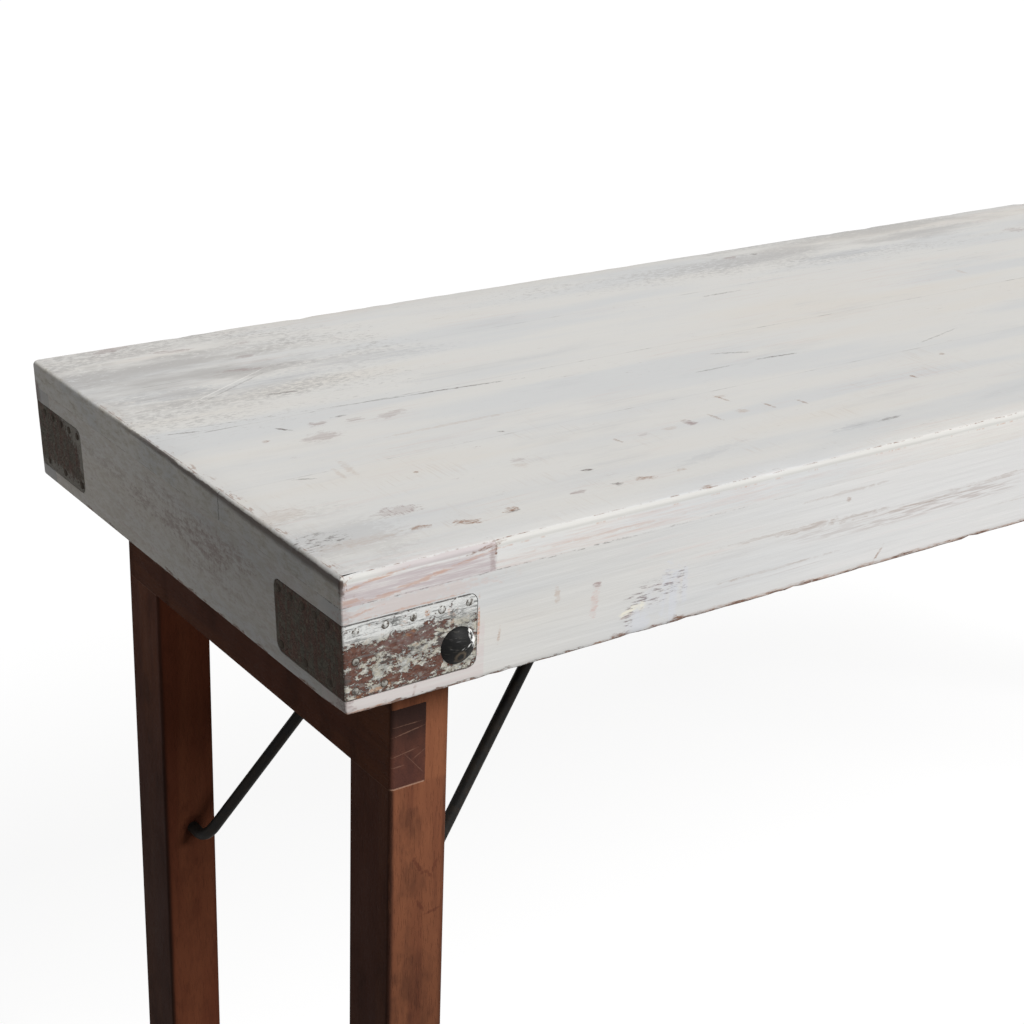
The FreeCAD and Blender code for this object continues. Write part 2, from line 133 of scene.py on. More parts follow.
def worn(shape, where, depth, size):
    """Rubs the chosen corners back from the box's outside, deeper in some places than in others."""
    for vert in shape.verts:
        strength = where(vert.co)
        if strength > 0:
            rub = 0.5 + 0.5 * noise.noise(vert.co / size)
            chip = max(0, noise.noise(vert.co / size * 2.7 + Vector((7, 3, 1))) - 0.25) * 2
            back = depth * strength * (rub * 0.6 + chip)
            inwards = to_middle(vert.co)
            inwards.z = -1 if vert.co.z > (TOP + LOW_Z) / 2 else 1
            if END_X - abs(vert.co.x) > 0.02:
                inwards.x = 0
            if SIDE_Y - abs(vert.co.y) > 0.02:
                inwards.y = 0
            vert.co += inwards * back


def drawn_out(shape, edges, run):
    """Draws edges out along a run, and gives the edges at its end."""
    drawn = bmesh.ops.extrude_edge_only(shape, edges=edges)["geom"]
    moved = [item for item in drawn if isinstance(item, bmesh.types.BMVert)]
    bmesh.ops.translate(shape, vec=run, verts=moved)
    drawn_edges = [item for item in drawn if isinstance(item, bmesh.types.BMEdge)]
    return [edge for edge in drawn_edges if all(vert in moved for vert in edge.verts)]


def placed(name, data):
    """An object with this mesh, lamp or camera, put in the scene."""
    thing = bpy.data.objects.new(name, data)
    bpy.context.scene.collection.objects.link(thing)
    return thing


def cut_away(piece, *cutters):
    """Cuts shapes out of a finished piece, and keeps the result in its mesh."""
    for cutter in cutters:
        tool_mesh = bpy.data.meshes.new("cutter")
        bmesh.ops.recalc_face_normals(cutter, faces=cutter.faces)
        cutter.to_mesh(tool_mesh)
        cutter.free()
        tool = placed("cutter", tool_mesh)
        cut = piece.modifiers.new("cut", "BOOLEAN")
        cut.operation = "DIFFERENCE"
        cut.solver = "EXACT"
        cut.object = tool
        depsgraph = bpy.context.evaluated_depsgraph_get()
        whole = bpy.data.meshes.new_from_object(piece.evaluated_get(depsgraph))
        piece.modifiers.clear()
        piece.data = whole
        bpy.data.objects.remove(tool)
        bpy.data.meshes.remove(tool_mesh)
    piece.data.set_sharp_from_angle(angle=math.radians(38))


def piece_of(name, shape, body, slot, finish, *nodes):
    """Turns a worked shape into a piece of the object, with its finish, in place of CAD nodes."""
    bmesh.ops.recalc_face_normals(shape, faces=shape.faces)
    mesh = bpy.data.meshes.new(name)
    shape.to_mesh(mesh)
    shape.free()
    mesh.materials.append(finish)
    mesh.shade_smooth()
    mesh.set_sharp_from_angle(angle=math.radians(38))
    piece = placed(name, mesh)
    if nodes:
        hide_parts(*nodes)
    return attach(piece, body)


def colour(red, green, blue):
    """A colour as it is read off a paint card, 0 to 255, made linear."""
    shares = [value / 255 for value in (red, green, blue)]
    linear = [s / 12.92 if s <= 0.04045 else ((s + 0.055) / 1.055) ** 2.4 for s in shares]
    return (*linear, 1)


class Wire:
    """A value on its way through a tree of nodes. Sums on it add Math nodes."""

    def __init__(self, tree, socket):
        self.tree = tree
        self.socket = socket

    def math(self, operation, *values):
        return self.tree.node("Math", {"operation": operation}, dict(enumerate(values)))

    def __add__(self, other):
        return self.math("ADD", self, other)

    def __sub__(self, other):
        return self.math("SUBTRACT", self, other)

    def __rsub__(self, other):
        return self.math("SUBTRACT", other, self)

    def __mul__(self, other):
        return self.math("MULTIPLY", self, other)

    def __truediv__(self, other):
        return self.math("DIVIDE", self, other)

    __radd__ = __add__
    __rmul__ = __mul__

    def most(self, other):
        return self.math("MAXIMUM", self, other)

    def least(self, other):
        return self.math("MINIMUM", self, other)

    def size(self):
        return self.math("ABSOLUTE", self)

    def above(self, floor):
        """The value squeezed between a floor and 1."""
        return floor + self * (1 - floor)

    def rise(self, low, high):
        """0 up to low, 1 from high on, and smooth between; it falls where low is above high."""
        if low > high:
            return 1 - self.rise(high, low)
        return self.tree.node("MapRange", {"interpolation_type": "SMOOTHSTEP"}, {0: self, 1: low, 2: high})


class Tree:
    """A tree of nodes, empty at first."""

    def __init__(self, tree):
        self.tree = tree
        self.tree.nodes.clear()

    def node(self, kind, settings=None, inputs=None, output=0):
        """Adds a node: its type, its settings, and the values or wires of its sockets."""
        added = self.tree.nodes.new("ShaderNode" + kind)
        for name, value in (settings or {}).items():
            setattr(added, name, value)
        for key, value in (inputs or {}).items():
            if isinstance(value, Wire):
                self.tree.links.new(value.socket, added.inputs[key])
            else:
                added.inputs[key].default_value = value
        return Wire(self, added.outputs[output]) if added.outputs else None


class Finish(Tree):
    """One finish, put together from nodes: one colour to begin with, and others laid over it."""

    def __init__(self, name, paint=None):
        self.material = bpy.data.materials.new(name)
        self.material.use_nodes = True
        super().__init__(self.material.node_tree)
        self.paint = paint
        self.place = self.node("TexCoord", output="Object")
        self.x, self.y, self.z = [
            self.node("SeparateXYZ", {}, {0: self.place}, output=axis) for axis in "XYZ"
        ]
        self.turns = {}
        self.edge = self.grain((0.006, 0.0026), 5, 0.7, 17)

    def grain(self, sizes, detail=3, rough=0.5, seed=0):
        """Blotches or streaks around 0.5, of these sizes in metres along X, Y and Z: the last repeats."""
        sizes = (*sizes, sizes[-1], sizes[-1])[:3]
        stretch = tuple(1 / size for size in sizes)
        shift = (seed * 1.7, seed * 2.3, seed * 3.1)
        inputs = {"Vector": self.place, "Location": shift, "Rotation": (0.5, 0.7, 0.3), "Scale": stretch}
        stretched = self.node("Mapping", {}, inputs)
        inputs = {"Vector": stretched, "Scale": 1, "Detail": detail, "Roughness": rough}
        return self.node("TexNoise", {}, inputs)

    def turned(self, axes, turn):
        """The place along axes turned by some angles, made once for each turn."""
        if turn not in self.turns:
            dots = [
                self.node("VectorMath", {"operation": "DOT_PRODUCT"}, {0: self.place, 1: axis}, "Value")
                for axis in axes
            ]
            self.turns[turn] = self.node("CombineXYZ", {}, dict(enumerate(dots)))
        return self.turns[turn]

    def mark(self, centre, sizes, turn=(0, 0, 0), ragged=0.8):
        """One mark on the surface: an ellipse of these half sizes in metres, with a ragged edge."""
        axes = [tuple(axis) for axis in Euler([math.radians(angle) for angle in turn]).to_matrix().col]
        stretch = tuple(1 / size for size in sizes)
        shift = tuple(-Vector(axis).dot(Vector(centre)) * share for axis, share in zip(axes, stretch))
        place = self.turned(axes, turn) if any(turn) else self.place
        inputs = {0: place, 1: stretch, 2: shift}
        local = self.node("VectorMath", {"operation": "MULTIPLY_ADD"}, inputs)
        away = self.node("VectorMath", {"operation": "LENGTH"}, {0: local}, "Value")
        return (away + (self.edge - 0.5) * (ragged * 4)).rise(1.2, 0.5)

    def spot(self, face, along, across, long, wide, strength=1, turn=0):
        """A mark on a face: its place and half sizes in millimetres, its strength and its turn."""
        along, across, long, wide = [value / 1000 for value in (along, across, long, wide)]
        centre, sizes, turned = {
            "top": ((along, across, TOP), (long, wide, DEEP), (0, 0, turn)),
            "front": ((along, -SIDE_Y, across), (long, DEEP, wide), (0, -turn, 0)),
            "left": ((-END_X, along, across), (DEEP, long, wide), (turn, 0, 0)),
            "leg": ((along, -LEG_FRONT_Y, across), (long, DEEP, wide), (0, -turn, 0)),
        }[face]
        return self.mark(centre, sizes, turned) * strength

    def marks(self, face, *spots):
        """The share of a face under its spots, where the strongest counts."""
        share = 0
        for spot in spots:
            share = self.spot(face, *spot).most(share)
        return share

    def blend(self, below, *layers):
        """A colour with others laid over it, each followed by its share."""
        settings = {"data_type": "RGBA", "clamp_factor": True}
        for above, share in zip(layers[::2], layers[1::2]):
            below = self.node("Mix", settings, {0: share, 6: below, 7: above}, output=2)
        return below

    def lay(self, above, share):
        """Lays a colour over all that there is so far."""
        self.paint = self.blend(self.paint, above, share)

    def shade(self, factor):
        """Makes all that there is so far lighter or darker, by a wire around 1."""
        grey = self.node("CombineColor", {}, {0: factor, 1: factor, 2: factor})
        settings = {"data_type": "RGBA", "blend_type": "MULTIPLY"}
        self.paint = self.node("Mix", settings, {0: 1, 6: self.paint, 7: grey}, 2)

    def done(self, rough, height=None, depth=0.001, metal=0, gloss=0.5):
        """The surface itself: colour, roughness, relief in metres, and the shader's own settings."""
        inputs = {"Base Color": self.paint, "Roughness": rough, "Metallic": metal}
        inputs["Specular IOR Level"] = gloss
        if height is not None:
            relief = {"Strength": 1, "Distance": depth, "Height": height}
            inputs["Normal"] = self.node("Bump", {}, relief)
        surface = self.node("BsdfPrincipled", {}, inputs)
        self.node("OutputMaterial", {}, {0: surface})
        return self.material


OFF_WHITE = colour(213, 212, 209)
WARM_WHITE = colour(214, 209, 201)
COOL_WHITE = colour(206, 207, 207)
BRIGHT_WHITE = colour(226, 225, 222)
BLUE_GREY = colour(178, 180, 183)
FIRST_COAT = colour(200, 180, 174)
BEIGE = colour(184, 168, 156)
MAUVE = colour(150, 132, 130)
WORN_ORANGE = colour(182, 130, 98)
CHIP_BROWN = colour(142, 108, 86)
BARE_BROWN = colour(124, 92, 76)
DARK_BROWN = colour(70, 56, 50)
HAIR_DARK = colour(96, 86, 82)
BARE_PLANK = colour(150, 118, 90)
SAWN_DARK = colour(108, 80, 60)


def streaks_along(axis, long, wide):
    """The sizes of streaks that run along one axis."""
    return tuple(long if each == axis else wide for each in "XYZ")


def painted(finish, along, seed, bare=0.5):
    """Off-white paint brushed along the grain, with what all the painted faces have in common."""
    broad = finish.grain(streaks_along(along, 0.45, 0.05), 3, 0.5, seed)
    brushed = finish.grain(streaks_along(along, 0.09, 0.0032), 5, 0.6, seed + 1)
    hairs = finish.grain(streaks_along(along, 0.022, 0.0011), 3, 0.5, seed + 2)
    groups = finish.grain(streaks_along(along, 0.16, 0.06), 3, 0.55, seed + 3)
    finish.lay(OFF_WHITE, broad.rise(0.36, 0.52))
    finish.lay(WARM_WHITE, broad.rise(0.5, 0.7) * (0.3 + bare))
    finish.lay(FIRST_COAT, brushed.rise(0.5, 0.68) * groups.rise(0.46, 0.66) * bare)
    finish.shade(0.98 + brushed * 0.04)
    finish.lay(HAIR_DARK, hairs.rise(0.66, 0.74) * groups.rise(0.48, 0.66) * bare)
    return brushed, hairs, groups


planks = Finish("painted_planks", COOL_WHITE)
x, y, z = planks.x, planks.y, planks.z
brushed, hairs, groups = painted(planks, "X", 3, 0.25)
below_top = TOP - z
side_in = SIDE_Y - y.size()
end_in = END_X - x.size()
upper_face = below_top.rise(0.0012, 0.0004)

clouds = planks.grain((0.15, 0.035), 5, 0.6, 11)
smears = planks.marks(
    "top", (-845, 106, 42, 12, 1, -5), (-770, 97, 60, 13, 0.8, 8), (-676, 114, 70, 14, 0.6, -5),
    (-216, 188, 75, 16, 0.6), (-122, 164, 62, 11, 0.9), (19, 187, 74, 14, 0.6),
    (-583, -182, 44, 5, 0.5, 14), (-439, -190, 32, 6, 0.6), (420, 90, 120, 14, 0.6),
    (610, -120, 90, 10, 0.5, -5),
)
smears = (smears * 0.7 + clouds.rise(0.54, 0.74) * 0.35) * brushed.rise(0.38, 0.62).above(0.35)
planks.lay(BLUE_GREY, smears * upper_face)
planks.lay(HAIR_DARK, hairs.rise(0.56, 0.68) * smears.rise(0.3, 0.6) * upper_face * 0.3)

wash = planks.marks("top", (-820, 140, 150, 90), (20, 195, 420, 45, 0.7), (-870, -180, 40, 50, 0.4))
planks.lay(colour(172, 170, 168), wash * clouds.rise(0.36, 0.56) * upper_face * 0.8)
fine = planks.grain((0.0045, 0.0014), 4, 0.7, 19).rise(0.4, 0.58)
speckle = planks.grain((0.016, 0.0022), 5, 0.75, 23).rise(0.56, 0.72)
planks.lay(MAUVE, speckle * (0.25 + wash * 0.6) * upper_face * 0.36)
flecks = planks.grain((0.01, 0.003), 5, 0.7, 5).rise(0.6, 0.7)
fleck_groups = planks.grain((0.08, 0.03), 3, 0.5, 21).rise(0.54, 0.72)
planks.lay(MAUVE, flecks * fleck_groups * upper_face * 0.45)

saw_marks = planks.grain((0.0019, 0.03), 3, 0.6, 29).rise(0.5, 0.66)
saw_groups = planks.grain((0.06, 0.03), 3, 0.5, 31).rise(0.5, 0.7) * y.rise(-0.04, -0.1)
planks.lay(BEIGE, saw_marks * saw_groups * upper_face * 0.22)

smudges = planks.marks(
    "top", (-774, 132, 18, 3, 0.7, -12), (-783, 2, 7, 4, 0.8), (-793, -22, 16, 8, 0.6, 8),
    (-756, -3, 7, 3, 0.6), (-728, -6, 15, 5, 0.5, 14), (-841, 221, 18, 5, 0.7, 14),
    (-800, 197, 15, 4, 0.8, -12), (-744, 191, 6, 3, 0.6), (-701, -125, 6, 4, 0.4),
    (-700, -192, 6, 3, 0.9), (-552, -125, 4, 6, 1, 14), (-596, -128, 5, 2, 0.6), (-229, 204, 8, 4, 0.7),
    (97, 152, 12, 8, 0.6), (-757, 160, 10, 3, 0.5),
)
planks.lay(MAUVE, smudges * hairs.rise(0.4, 0.56).above(0.35) * 0.8)
soft = planks.marks(
    "top", (-807, -82, 3, 15, 0.5, -5), (-817, -87, 2, 10, 0.5, -5), (-886, -132, 20, 10, 0.4),
    (-572, -127, 6, 3, 0.6), (-502, -125, 6, 4, 0.7), (-495, -92, 6, 3, 0.6), (-617, -194, 5, 2, 0.9),
    (-699, -44, 55, 2, 0.5), (-705, -134, 6, 4, 0.4), (-70, 67, 3, 8, 0.5), (-865, -190, 30, 5, 0.5),
)
planks.lay(BEIGE, soft * fine.above(0.4) * 0.8)
chips = planks.marks(
    "top", (-754, -194, 6, 3, 1, 8), (-789, -197, 9, 4, 0.9, -20), (-819, -189, 7, 3, 0.8),
    (-646, -194, 7, 3, 0.8, -12), (-831, -11, 3, 2, 0.7), (-772, -110, 2, 1.5, 0.9),
    (-620, -226, 5, 2, 0.8), (-619, -128, 1.5, 5, 0.7, 8), (-528, -125, 1.5, 7, 0.7, 8),
    (-476, -125, 1.5, 6, 0.7, 8), (-449, -131, 1.5, 6, 0.7, 8), (-497, -96, 1.5, 8, 0.6, 8),
    (-332, -130, 1.5, 4, 1, 8), (-270, -100, 3, 2, 0.7),
)
planks.lay(CHIP_BROWN, chips * fine.above(0.25))
dashes = planks.marks(
    "top", (-872, 31, 11, 1, 0.9, -12), (-845, 35, 20, 0.7, 0.5, -5), (-809, 4, 7, 1.3, 1, -50),
    (-760, 8, 7, 1.2, 0.7), (-769, 71, 14, 2, 0.6, -5), (-840, -85, 9, 1.2, 0.6, -20),
    (-671, -163, 5, 1.8, 1, -12), (-669, -193, 4, 2.6, 0.9, -20), (-679, -74, 3, 1.2, 0.9, -20),
    (-754, -197, 5, 1.2, 0.7, 8), (-698, 22, 90, 0.7, 0.55, -5), (-655, 19, 42, 0.9, 1, -5),
    (-318, 117, 19, 1.6, 0.6), (-202, 203, 4, 2.2, 0.7), (-457, -40, 17, 1, 0.6),
    (-390, -40, 21, 1.4, 0.8, -5), (-234, -63, 32, 0.9, 0.5, 14), (-418, -16, 18, 1.4, 0.6, -20),
    (-418, -190, 10, 2, 0.7), (-797, 100, 50, 0.8, 0.4, 29),
)
planks.lay(HAIR_DARK, dashes * fine.above(0.35) * 0.9)
scratch = planks.marks("top", (-799, 105, 52, 0.7, 1, 29))
planks.lay(BRIGHT_WHITE, scratch * 0.75)
strokes = planks.grain((0.0014, 0.007), 3, 0.6, 43).rise(0.5, 0.6)
planks.lay(MAUVE, planks.marks("top", (-817, -160, 15, 7)) * (0.3 + strokes * 0.5))
grit = planks.grain((0.0065, 0.0022), 5, 0.7, 41).rise(0.5, 0.62)
planks.lay(DARK_BROWN, planks.marks("top", (-884, -177, 20, 12, 1, 8)) * grit * 0.65)

wave = (brushed - 0.5) * 0.0012
broken = planks.grain((0.05, 0.5), 4, 0.65, 51)
for joint, strength in ((-0.08, 0.6), (0.025, 0.9), (0.13, 0.5)):
    near_joint = (y - joint + wave).size().rise(0.0008, 0.0002)
    planks.lay(HAIR_DARK, near_joint * (0.1 + broken.rise(0.54, 0.64) * 0.5) * strength)

breaks = planks.grain((0.011, 0.5), 6, 0.75, 61)
# Painted shade: the rounded front arris is laid with a darker white, to tone down the highlight that it
# catches from the lamp.
band = side_in.rise(0.0026, 0.0012) * below_top.rise(0.0052, 0.0038)
planks.lay(colour(197, 196, 192), band * 0.85)
line = (side_in - 0.0024 + wave * 1.4).size().rise(0.0006, 0.0001) * below_top.rise(0.0024, 0.0018)
planks.lay(BARE_BROWN, line * breaks.rise(0.47, 0.6) * (0.3 + fine * 0.6))
warm_line = (below_top - 0.0052 + wave).size().rise(0.0008, 0.0002) * side_in.rise(0.002, 0.001)
planks.lay(WORN_ORANGE, warm_line * breaks.rise(0.52, 0.62) * 0.4)

edge_face = side_in.rise(0.0012, 0.0004) * below_top.rise(0.0045, 0.007)
coat = planks.grain((0.05, 0.0024), 5, 0.75, 71)
edge_fade = 0.35 + x.rise(-0.45, -0.7) * 0.65
planks.lay(FIRST_COAT, edge_face * coat.rise(0.44, 0.62) * edge_fade * 0.38)
planks.lay(WORN_ORANGE, edge_face * coat.rise(0.62, 0.72) * 0.25)
on_repair = x.rise(REPAIR_END + 0.0005, REPAIR_END - 0.0005) * y.rise(-0.1, -0.2)
lavender = colour(182, 172, 174)
planks.lay(lavender, on_repair * edge_face * (0.3 + coat.rise(0.38, 0.58) * 0.6))
planks.lay(lavender, on_repair * band * x.rise(-0.885, -0.85) * 0.7)
worn_lines = planks.marks(
    "front", (-878, 763.4, 24, 1.1, 1, 8), (-858, 753.8, 34, 1.6, 0.8, 8), (-815, 760.5, 30, 1.3, 0.9, 8),
    (-893, 752.5, 8, 3, 0.8), (-700, 757, 60, 1.2, 0.4),
)
planks.lay(WORN_ORANGE, worn_lines * hairs.rise(0.4, 0.54).above(0.2) * 0.55)
planks.lay(MAUVE, planks.marks("front", (-792.5, 758, 2.5, 12, 0.9)) * (0.3 + fine * 0.4))
seam = planks.marks("front", (-797, 766.6, 13, 1.1, 1, 8), (-790.5, 764, 1.2, 4))
planks.lay(BARE_BROWN, seam * (0.3 + fine * 0.6))

ragged_end = planks.grain((0.004, 0.014, 0.004), 5, 0.7, 91)
end_face = end_in.rise(0.0036, 0.0016)
smut = planks.grain((0.05, 0.011, 0.004), 5, 0.75, 95)
planks.lay(colour(172, 168, 152), end_face * smut.rise(0.42, 0.62) * 0.5)
planks.lay(MAUVE, end_face * smut.rise(0.58, 0.72) * 0.5)
planks.shade(1 + end_face * y.rise(-0.1, 0.12) * 0.28)
end_joint = (y + 0.0755 + (smut - 0.5) * 0.004).size().rise(0.0008, 0.0003) * end_face
planks.lay(DARK_BROWN, end_joint * 0.6)
rub_deep = 0.0022 + y.rise(0.06, -0.2) * 0.0034
rubbed = (below_top + (ragged_end - 0.5) * 0.003) / rub_deep
rubbed = rubbed.rise(0.25, 0.45) * rubbed.rise(1.7, 0.8) * y.rise(0.12, 0.02)
planks.lay(DARK_BROWN, rubbed * end_in.rise(0.003, 0.0022) * 0.85)
corner_stain = planks.mark((-END_X, 0.227, 0.75), (DEEP, 0.01, 0.006), ragged=0.25)
planks.lay(colour(98, 80, 70), corner_stain * 0.8)
end_line = (end_in - 0.0034 + (ragged_end - 0.5) * 0.003).size().rise(0.0006, 0.0002)
planks.lay(BARE_BROWN, end_line * y.rise(0.17, 0.08) * ragged_end.rise(0.46, 0.56) * 0.6)
end_flecks = end_in.rise(0.013, 0.003) * end_in.rise(0.002, 0.0045) * ragged_end.rise(0.56, 0.62)
planks.lay(CHIP_BROWN, end_flecks * y.rise(0.15, 0.03) * 0.7)

near_corner = planks.mark((-0.899, -0.2295, 0.763), (0.0024, 0.0024, 0.0075), ragged=0.5)
planks.lay(DARK_BROWN, near_corner * 0.75)

near_left = 0.15 + x.rise(-0.5, -0.8) * 0.85
joint_below = (z - JOINT_Z + wave).rise(0.0009, 0.0003) * side_in.rise(0.0012, 0.0004)
planks.lay(HAIR_DARK, joint_below * breaks.rise(0.46, 0.58) * fine * near_left * 0.8)
underside = planks.blend(BARE_PLANK, SAWN_DARK, brushed.rise(0.4, 0.62))
hidden = z.rise(JOINT_Z + 0.0005, JOINT_Z + 0.0002) * side_in.least(end_in).rise(0.0014, 0.003)
planks.lay(underside, hidden)
relief = brushed * 0.4 + hairs * 0.2
painted_planks = planks.done(0.52 + groups * 0.16, relief, 0.0004, gloss=0.2)


def outer_edges(shape, level):
    """The edges at one level that lie along the outside of the box."""
    level_edges = edges_where(shape, lambda co: abs(co.z - level) < 0.001)
    return [e for e in level_edges if to_outside((e.verts[0].co + e.verts[1].co) / 2) < 0.003]


def corner_edges(shape, side):
    """The upright edges at the box's corners on the front, -1, or the rear, 1."""
    at_corner = edges_where(shape, lambda co: END_X - abs(co.x) < 0.006 and side * co.y > 0.229)
    return [e for e in at_corner if abs(e.verts[0].co.z - e.verts[1].co.z) > 0.01]


def rub_arris(co):
    return (co.z > TOP - 0.006) * max(0, 1 - to_outside(co) / 0.012)


def within(shape, reach):
    """Keeps the ends of a piece from standing out past the box."""
    for vert in shape.verts:
        vert.co.x = max(-reach, min(reach, vert.co.x))


for name, (near, far) in PLANK_EDGES.items():
    start = REPAIR_END if name == "front" else -END_X
    shape = block((start, near, JOINT_Z), (END_X, far, TOP))
    if name == "front":
        sawn(shape, (0, REPAIR_BACK, 0), (0, 1, 0))
        behind = [f for f in shape.faces if f.normal.x < -0.9 and f.calc_center_median().y > REPAIR_BACK]
        drawn = bmesh.ops.extrude_face_region(shape, geom=behind)["geom"]
        bmesh.ops.delete(shape, geom=behind, context="FACES")
        moved = [item for item in drawn if isinstance(item, bmesh.types.BMVert)]
        bmesh.ops.translate(shape, vec=(-END_X - REPAIR_END, 0, 0), verts=moved)
    rounded(shape, corner_edges(shape, -1), CORNER_ROUND[-1], 3)
    rounded(shape, corner_edges(shape, 1), CORNER_ROUND[1], 4)
    leaning_ends(shape)
    rounded(shape, outer_edges(shape, TOP), ARRIS, 5)
    sawn_across(shape, 0, -END_X + 0.012, END_X - 0.012, 0.012)
    sawn_across(shape, 1, near + 0.006, far - 0.006, 0.012)
    worn(shape, rub_arris, 0.0008, 0.035)
    within(shape, REACH)
    piece_of("plank_" + name, shape, "tabletop", "white_paint_wood", painted_planks, "top_plank_" + name)

shape = block((-END_X, -SIDE_Y, JOINT_Z), (REPAIR_END - 0.00005, REPAIR_BACK, TOP))
rounded(shape, corner_edges(shape, -1), CORNER_ROUND[-1], 3)
leaning_ends(shape)
rounded(shape, outer_edges(shape, TOP), ARRIS, 5)
sawn_across(shape, 0, -END_X + 0.008, REPAIR_END - 0.004, 0.008)
sawn_across(shape, 1, -SIDE_Y + 0.007, REPAIR_BACK, 0.007)
worn(shape, rub_arris, 0.0009, 0.03)
within(shape, REACH)
piece_of(
    "edge_repair", shape, "tabletop", "white_paint_wood", painted_planks, "edge_repair_piece", "plank_nails"
)


# The aprons
#
# Two long boards on edge and two short ones between them carry the planks. They are painted as the
# top is, bare inside, chipped along the lower arris, and cut back at the corners for the straps.

APRON_THICK = 0.028
END_APRON_INSIDE = END_X - END_RAKE - 0.026
STRAP_LOW = LOW_Z + 0.0105
STRAP_HIGH = STRAP_LOW + 0.05
STRAP_FRONT_END = -END_X + 0.097
STRAP_SIDE_END = -SIDE_Y + 0.083
STRAP_THICK = 0.002
STRAP_PLAY = 0.0005


def strap_shape(extra, corner):
    """A strip bent round a corner of the box, with rounded ends, larger all round by extra."""
    strip = bmesh.new()
    path = (
        (-END_X - extra, STRAP_SIDE_END + extra, STRAP_LOW - extra),
        (-END_X - extra, -SIDE_Y - extra, STRAP_LOW - extra),
        (STRAP_FRONT_END + extra, -SIDE_Y - extra, STRAP_LOW - extra),
    )
    corners = [strip.verts.new(place) for place in path]
    line = [strip.edges.new(pair) for pair in zip(corners, corners[1:])]
    drawn_out(strip, line, (0, 0, STRAP_HIGH - STRAP_LOW + 2 * extra))
    bmesh.ops.recalc_face_normals(strip, faces=strip.faces)
    outwards = sum((face.normal for face in strip.faces), Vector((0, 0, 0)))
    if outwards.x + outwards.y > 0:
        bmesh.ops.reverse_faces(strip, faces=strip.faces)
    bmesh.ops.solidify(strip, geom=strip.faces, thickness=STRAP_THICK + 2 * extra)
    at_bend = edges_where(strip, lambda co: co.x < -END_X + 0.006 and co.y < -SIDE_Y + 0.006)
    upright = [edge for edge in at_bend if edge.calc_length() > 0.01]
    outside, inside = sorted(upright, key=lambda edge: edge.verts[0].co.x + edge.verts[0].co.y)
    bend = CORNER_ROUND[-corner[1]] + extra
    rounded(strip, [outside], bend, 4)
    if bend - STRAP_THICK - 2 * extra > 0.0005:
        rounded(strip, [inside], bend - STRAP_THICK - 2 * extra, 4)
    round_at = [
        edge
        for edge in strip.edges
        if edge.calc_length() < 0.0055
        and (min(v.co.x for v in edge.verts) > STRAP_FRONT_END - 0.001
             or min(v.co.y for v in edge.verts) > STRAP_SIDE_END - 0.001)
        and abs(edge.verts[0].co.z - edge.verts[1].co.z) < 0.001
    ]
    rounded(strip, round_at, 0.006 + extra, 4)
    for vert in strip.verts:
        if vert.co.x < -END_X + 0.006:
            vert.co.x += lean_at(vert.co.z)
    bmesh.ops.scale(strip, vec=(corner[0], corner[1], 1), verts=strip.verts)
    bmesh.ops.recalc_face_normals(strip, faces=strip.faces)
    return strip


def rub_lower_arris(co):
    outside = abs(co.y) > SIDE_Y - 0.003
    return outside * min(1, max(0, (LOW_Z + 0.004 - co.z) / 0.003))


CORNERS = {"front_left": (1, 1), "front_right": (-1, 1), "rear_left": (1, -1), "rear_right": (-1, -1)}


def apron_done(finish, chips, breaks, inside, brushed, hairs, groups):
    """Chips the lower arris, bares the wood inside and below, and makes the surface."""
    low_edge = (finish.z - LOW_Z - (chips - 0.5) * 0.016).rise(0.0016, 0.0006)
    finish.lay(BARE_BROWN, low_edge * breaks.rise(0.4, 0.5) * 0.9)
    under = finish.z.rise(LOW_Z + 0.0008, LOW_Z + 0.0004)
    bare = finish.blend(BARE_PLANK, SAWN_DARK, brushed.rise(0.36, 0.66))
    finish.lay(bare, inside.most(under * 0.8))
    relief = brushed * 0.3 + hairs * 0.1 - low_edge * 0.6
    return finish.done(0.5 + groups * 0.16, relief, 0.0005, gloss=0.2)


boards = Finish("painted_long_aprons", COOL_WHITE)
x, y, z = boards.x, boards.y, boards.z
brushed, hairs, groups = painted(boards, "X", 103, 0.45)
# Painted light: the front face is made lighter towards the right, where the lamp lights it most.
boards.lay(colour(226, 226, 226), x.rise(-0.78, -0.4) * y.rise(-0.22, -0.225) * 0.7)
boards.shade(0.84 + brushed * 0.17)
grain_lines = boards.grain((0.22, 0.0045), 4, 0.6, 111)
fine = boards.grain((0.006, 0.0016), 4, 0.7, 119).rise(0.4, 0.58)
grain_groups = boards.grain((0.3, 0.018), 3, 0.5, 112)
boards.lay(MAUVE, grain_lines.rise(0.56, 0.68) * grain_groups.rise(0.56, 0.7) * 0.45)
dry_brush = (z + (grain_lines - 0.5) * 0.012 - (0.718 + x * 0.008)).size().rise(0.01, 0.002)
dry_brush = dry_brush * x.rise(-0.63, -0.52) * hairs.rise(0.42, 0.58) * groups.rise(0.4, 0.56)
boards.lay(colour(160, 144, 138), dry_brush * 0.45)
long_lines = boards.marks(
    "front", (-572, 724, 34, 1.2, 0.8), (-525, 722.5, 30, 2.6), (-480, 721, 30, 2.2, 0.9),
    (-425, 718, 45, 1.6, 0.8), (-560, 698, 58, 0.9, 0.8), (-495, 742, 38, 1.3, 0.6),
    (-300, 722, 90, 1.8, 0.6), (-250, 700, 90, 1.2, 0.5), (100, 722, 160, 2.4, 0.6),
    (420, 712, 120, 2, 0.6),
)
boards.lay(colour(164, 148, 138), long_lines * (0.15 + hairs.rise(0.38, 0.62) * 0.45))
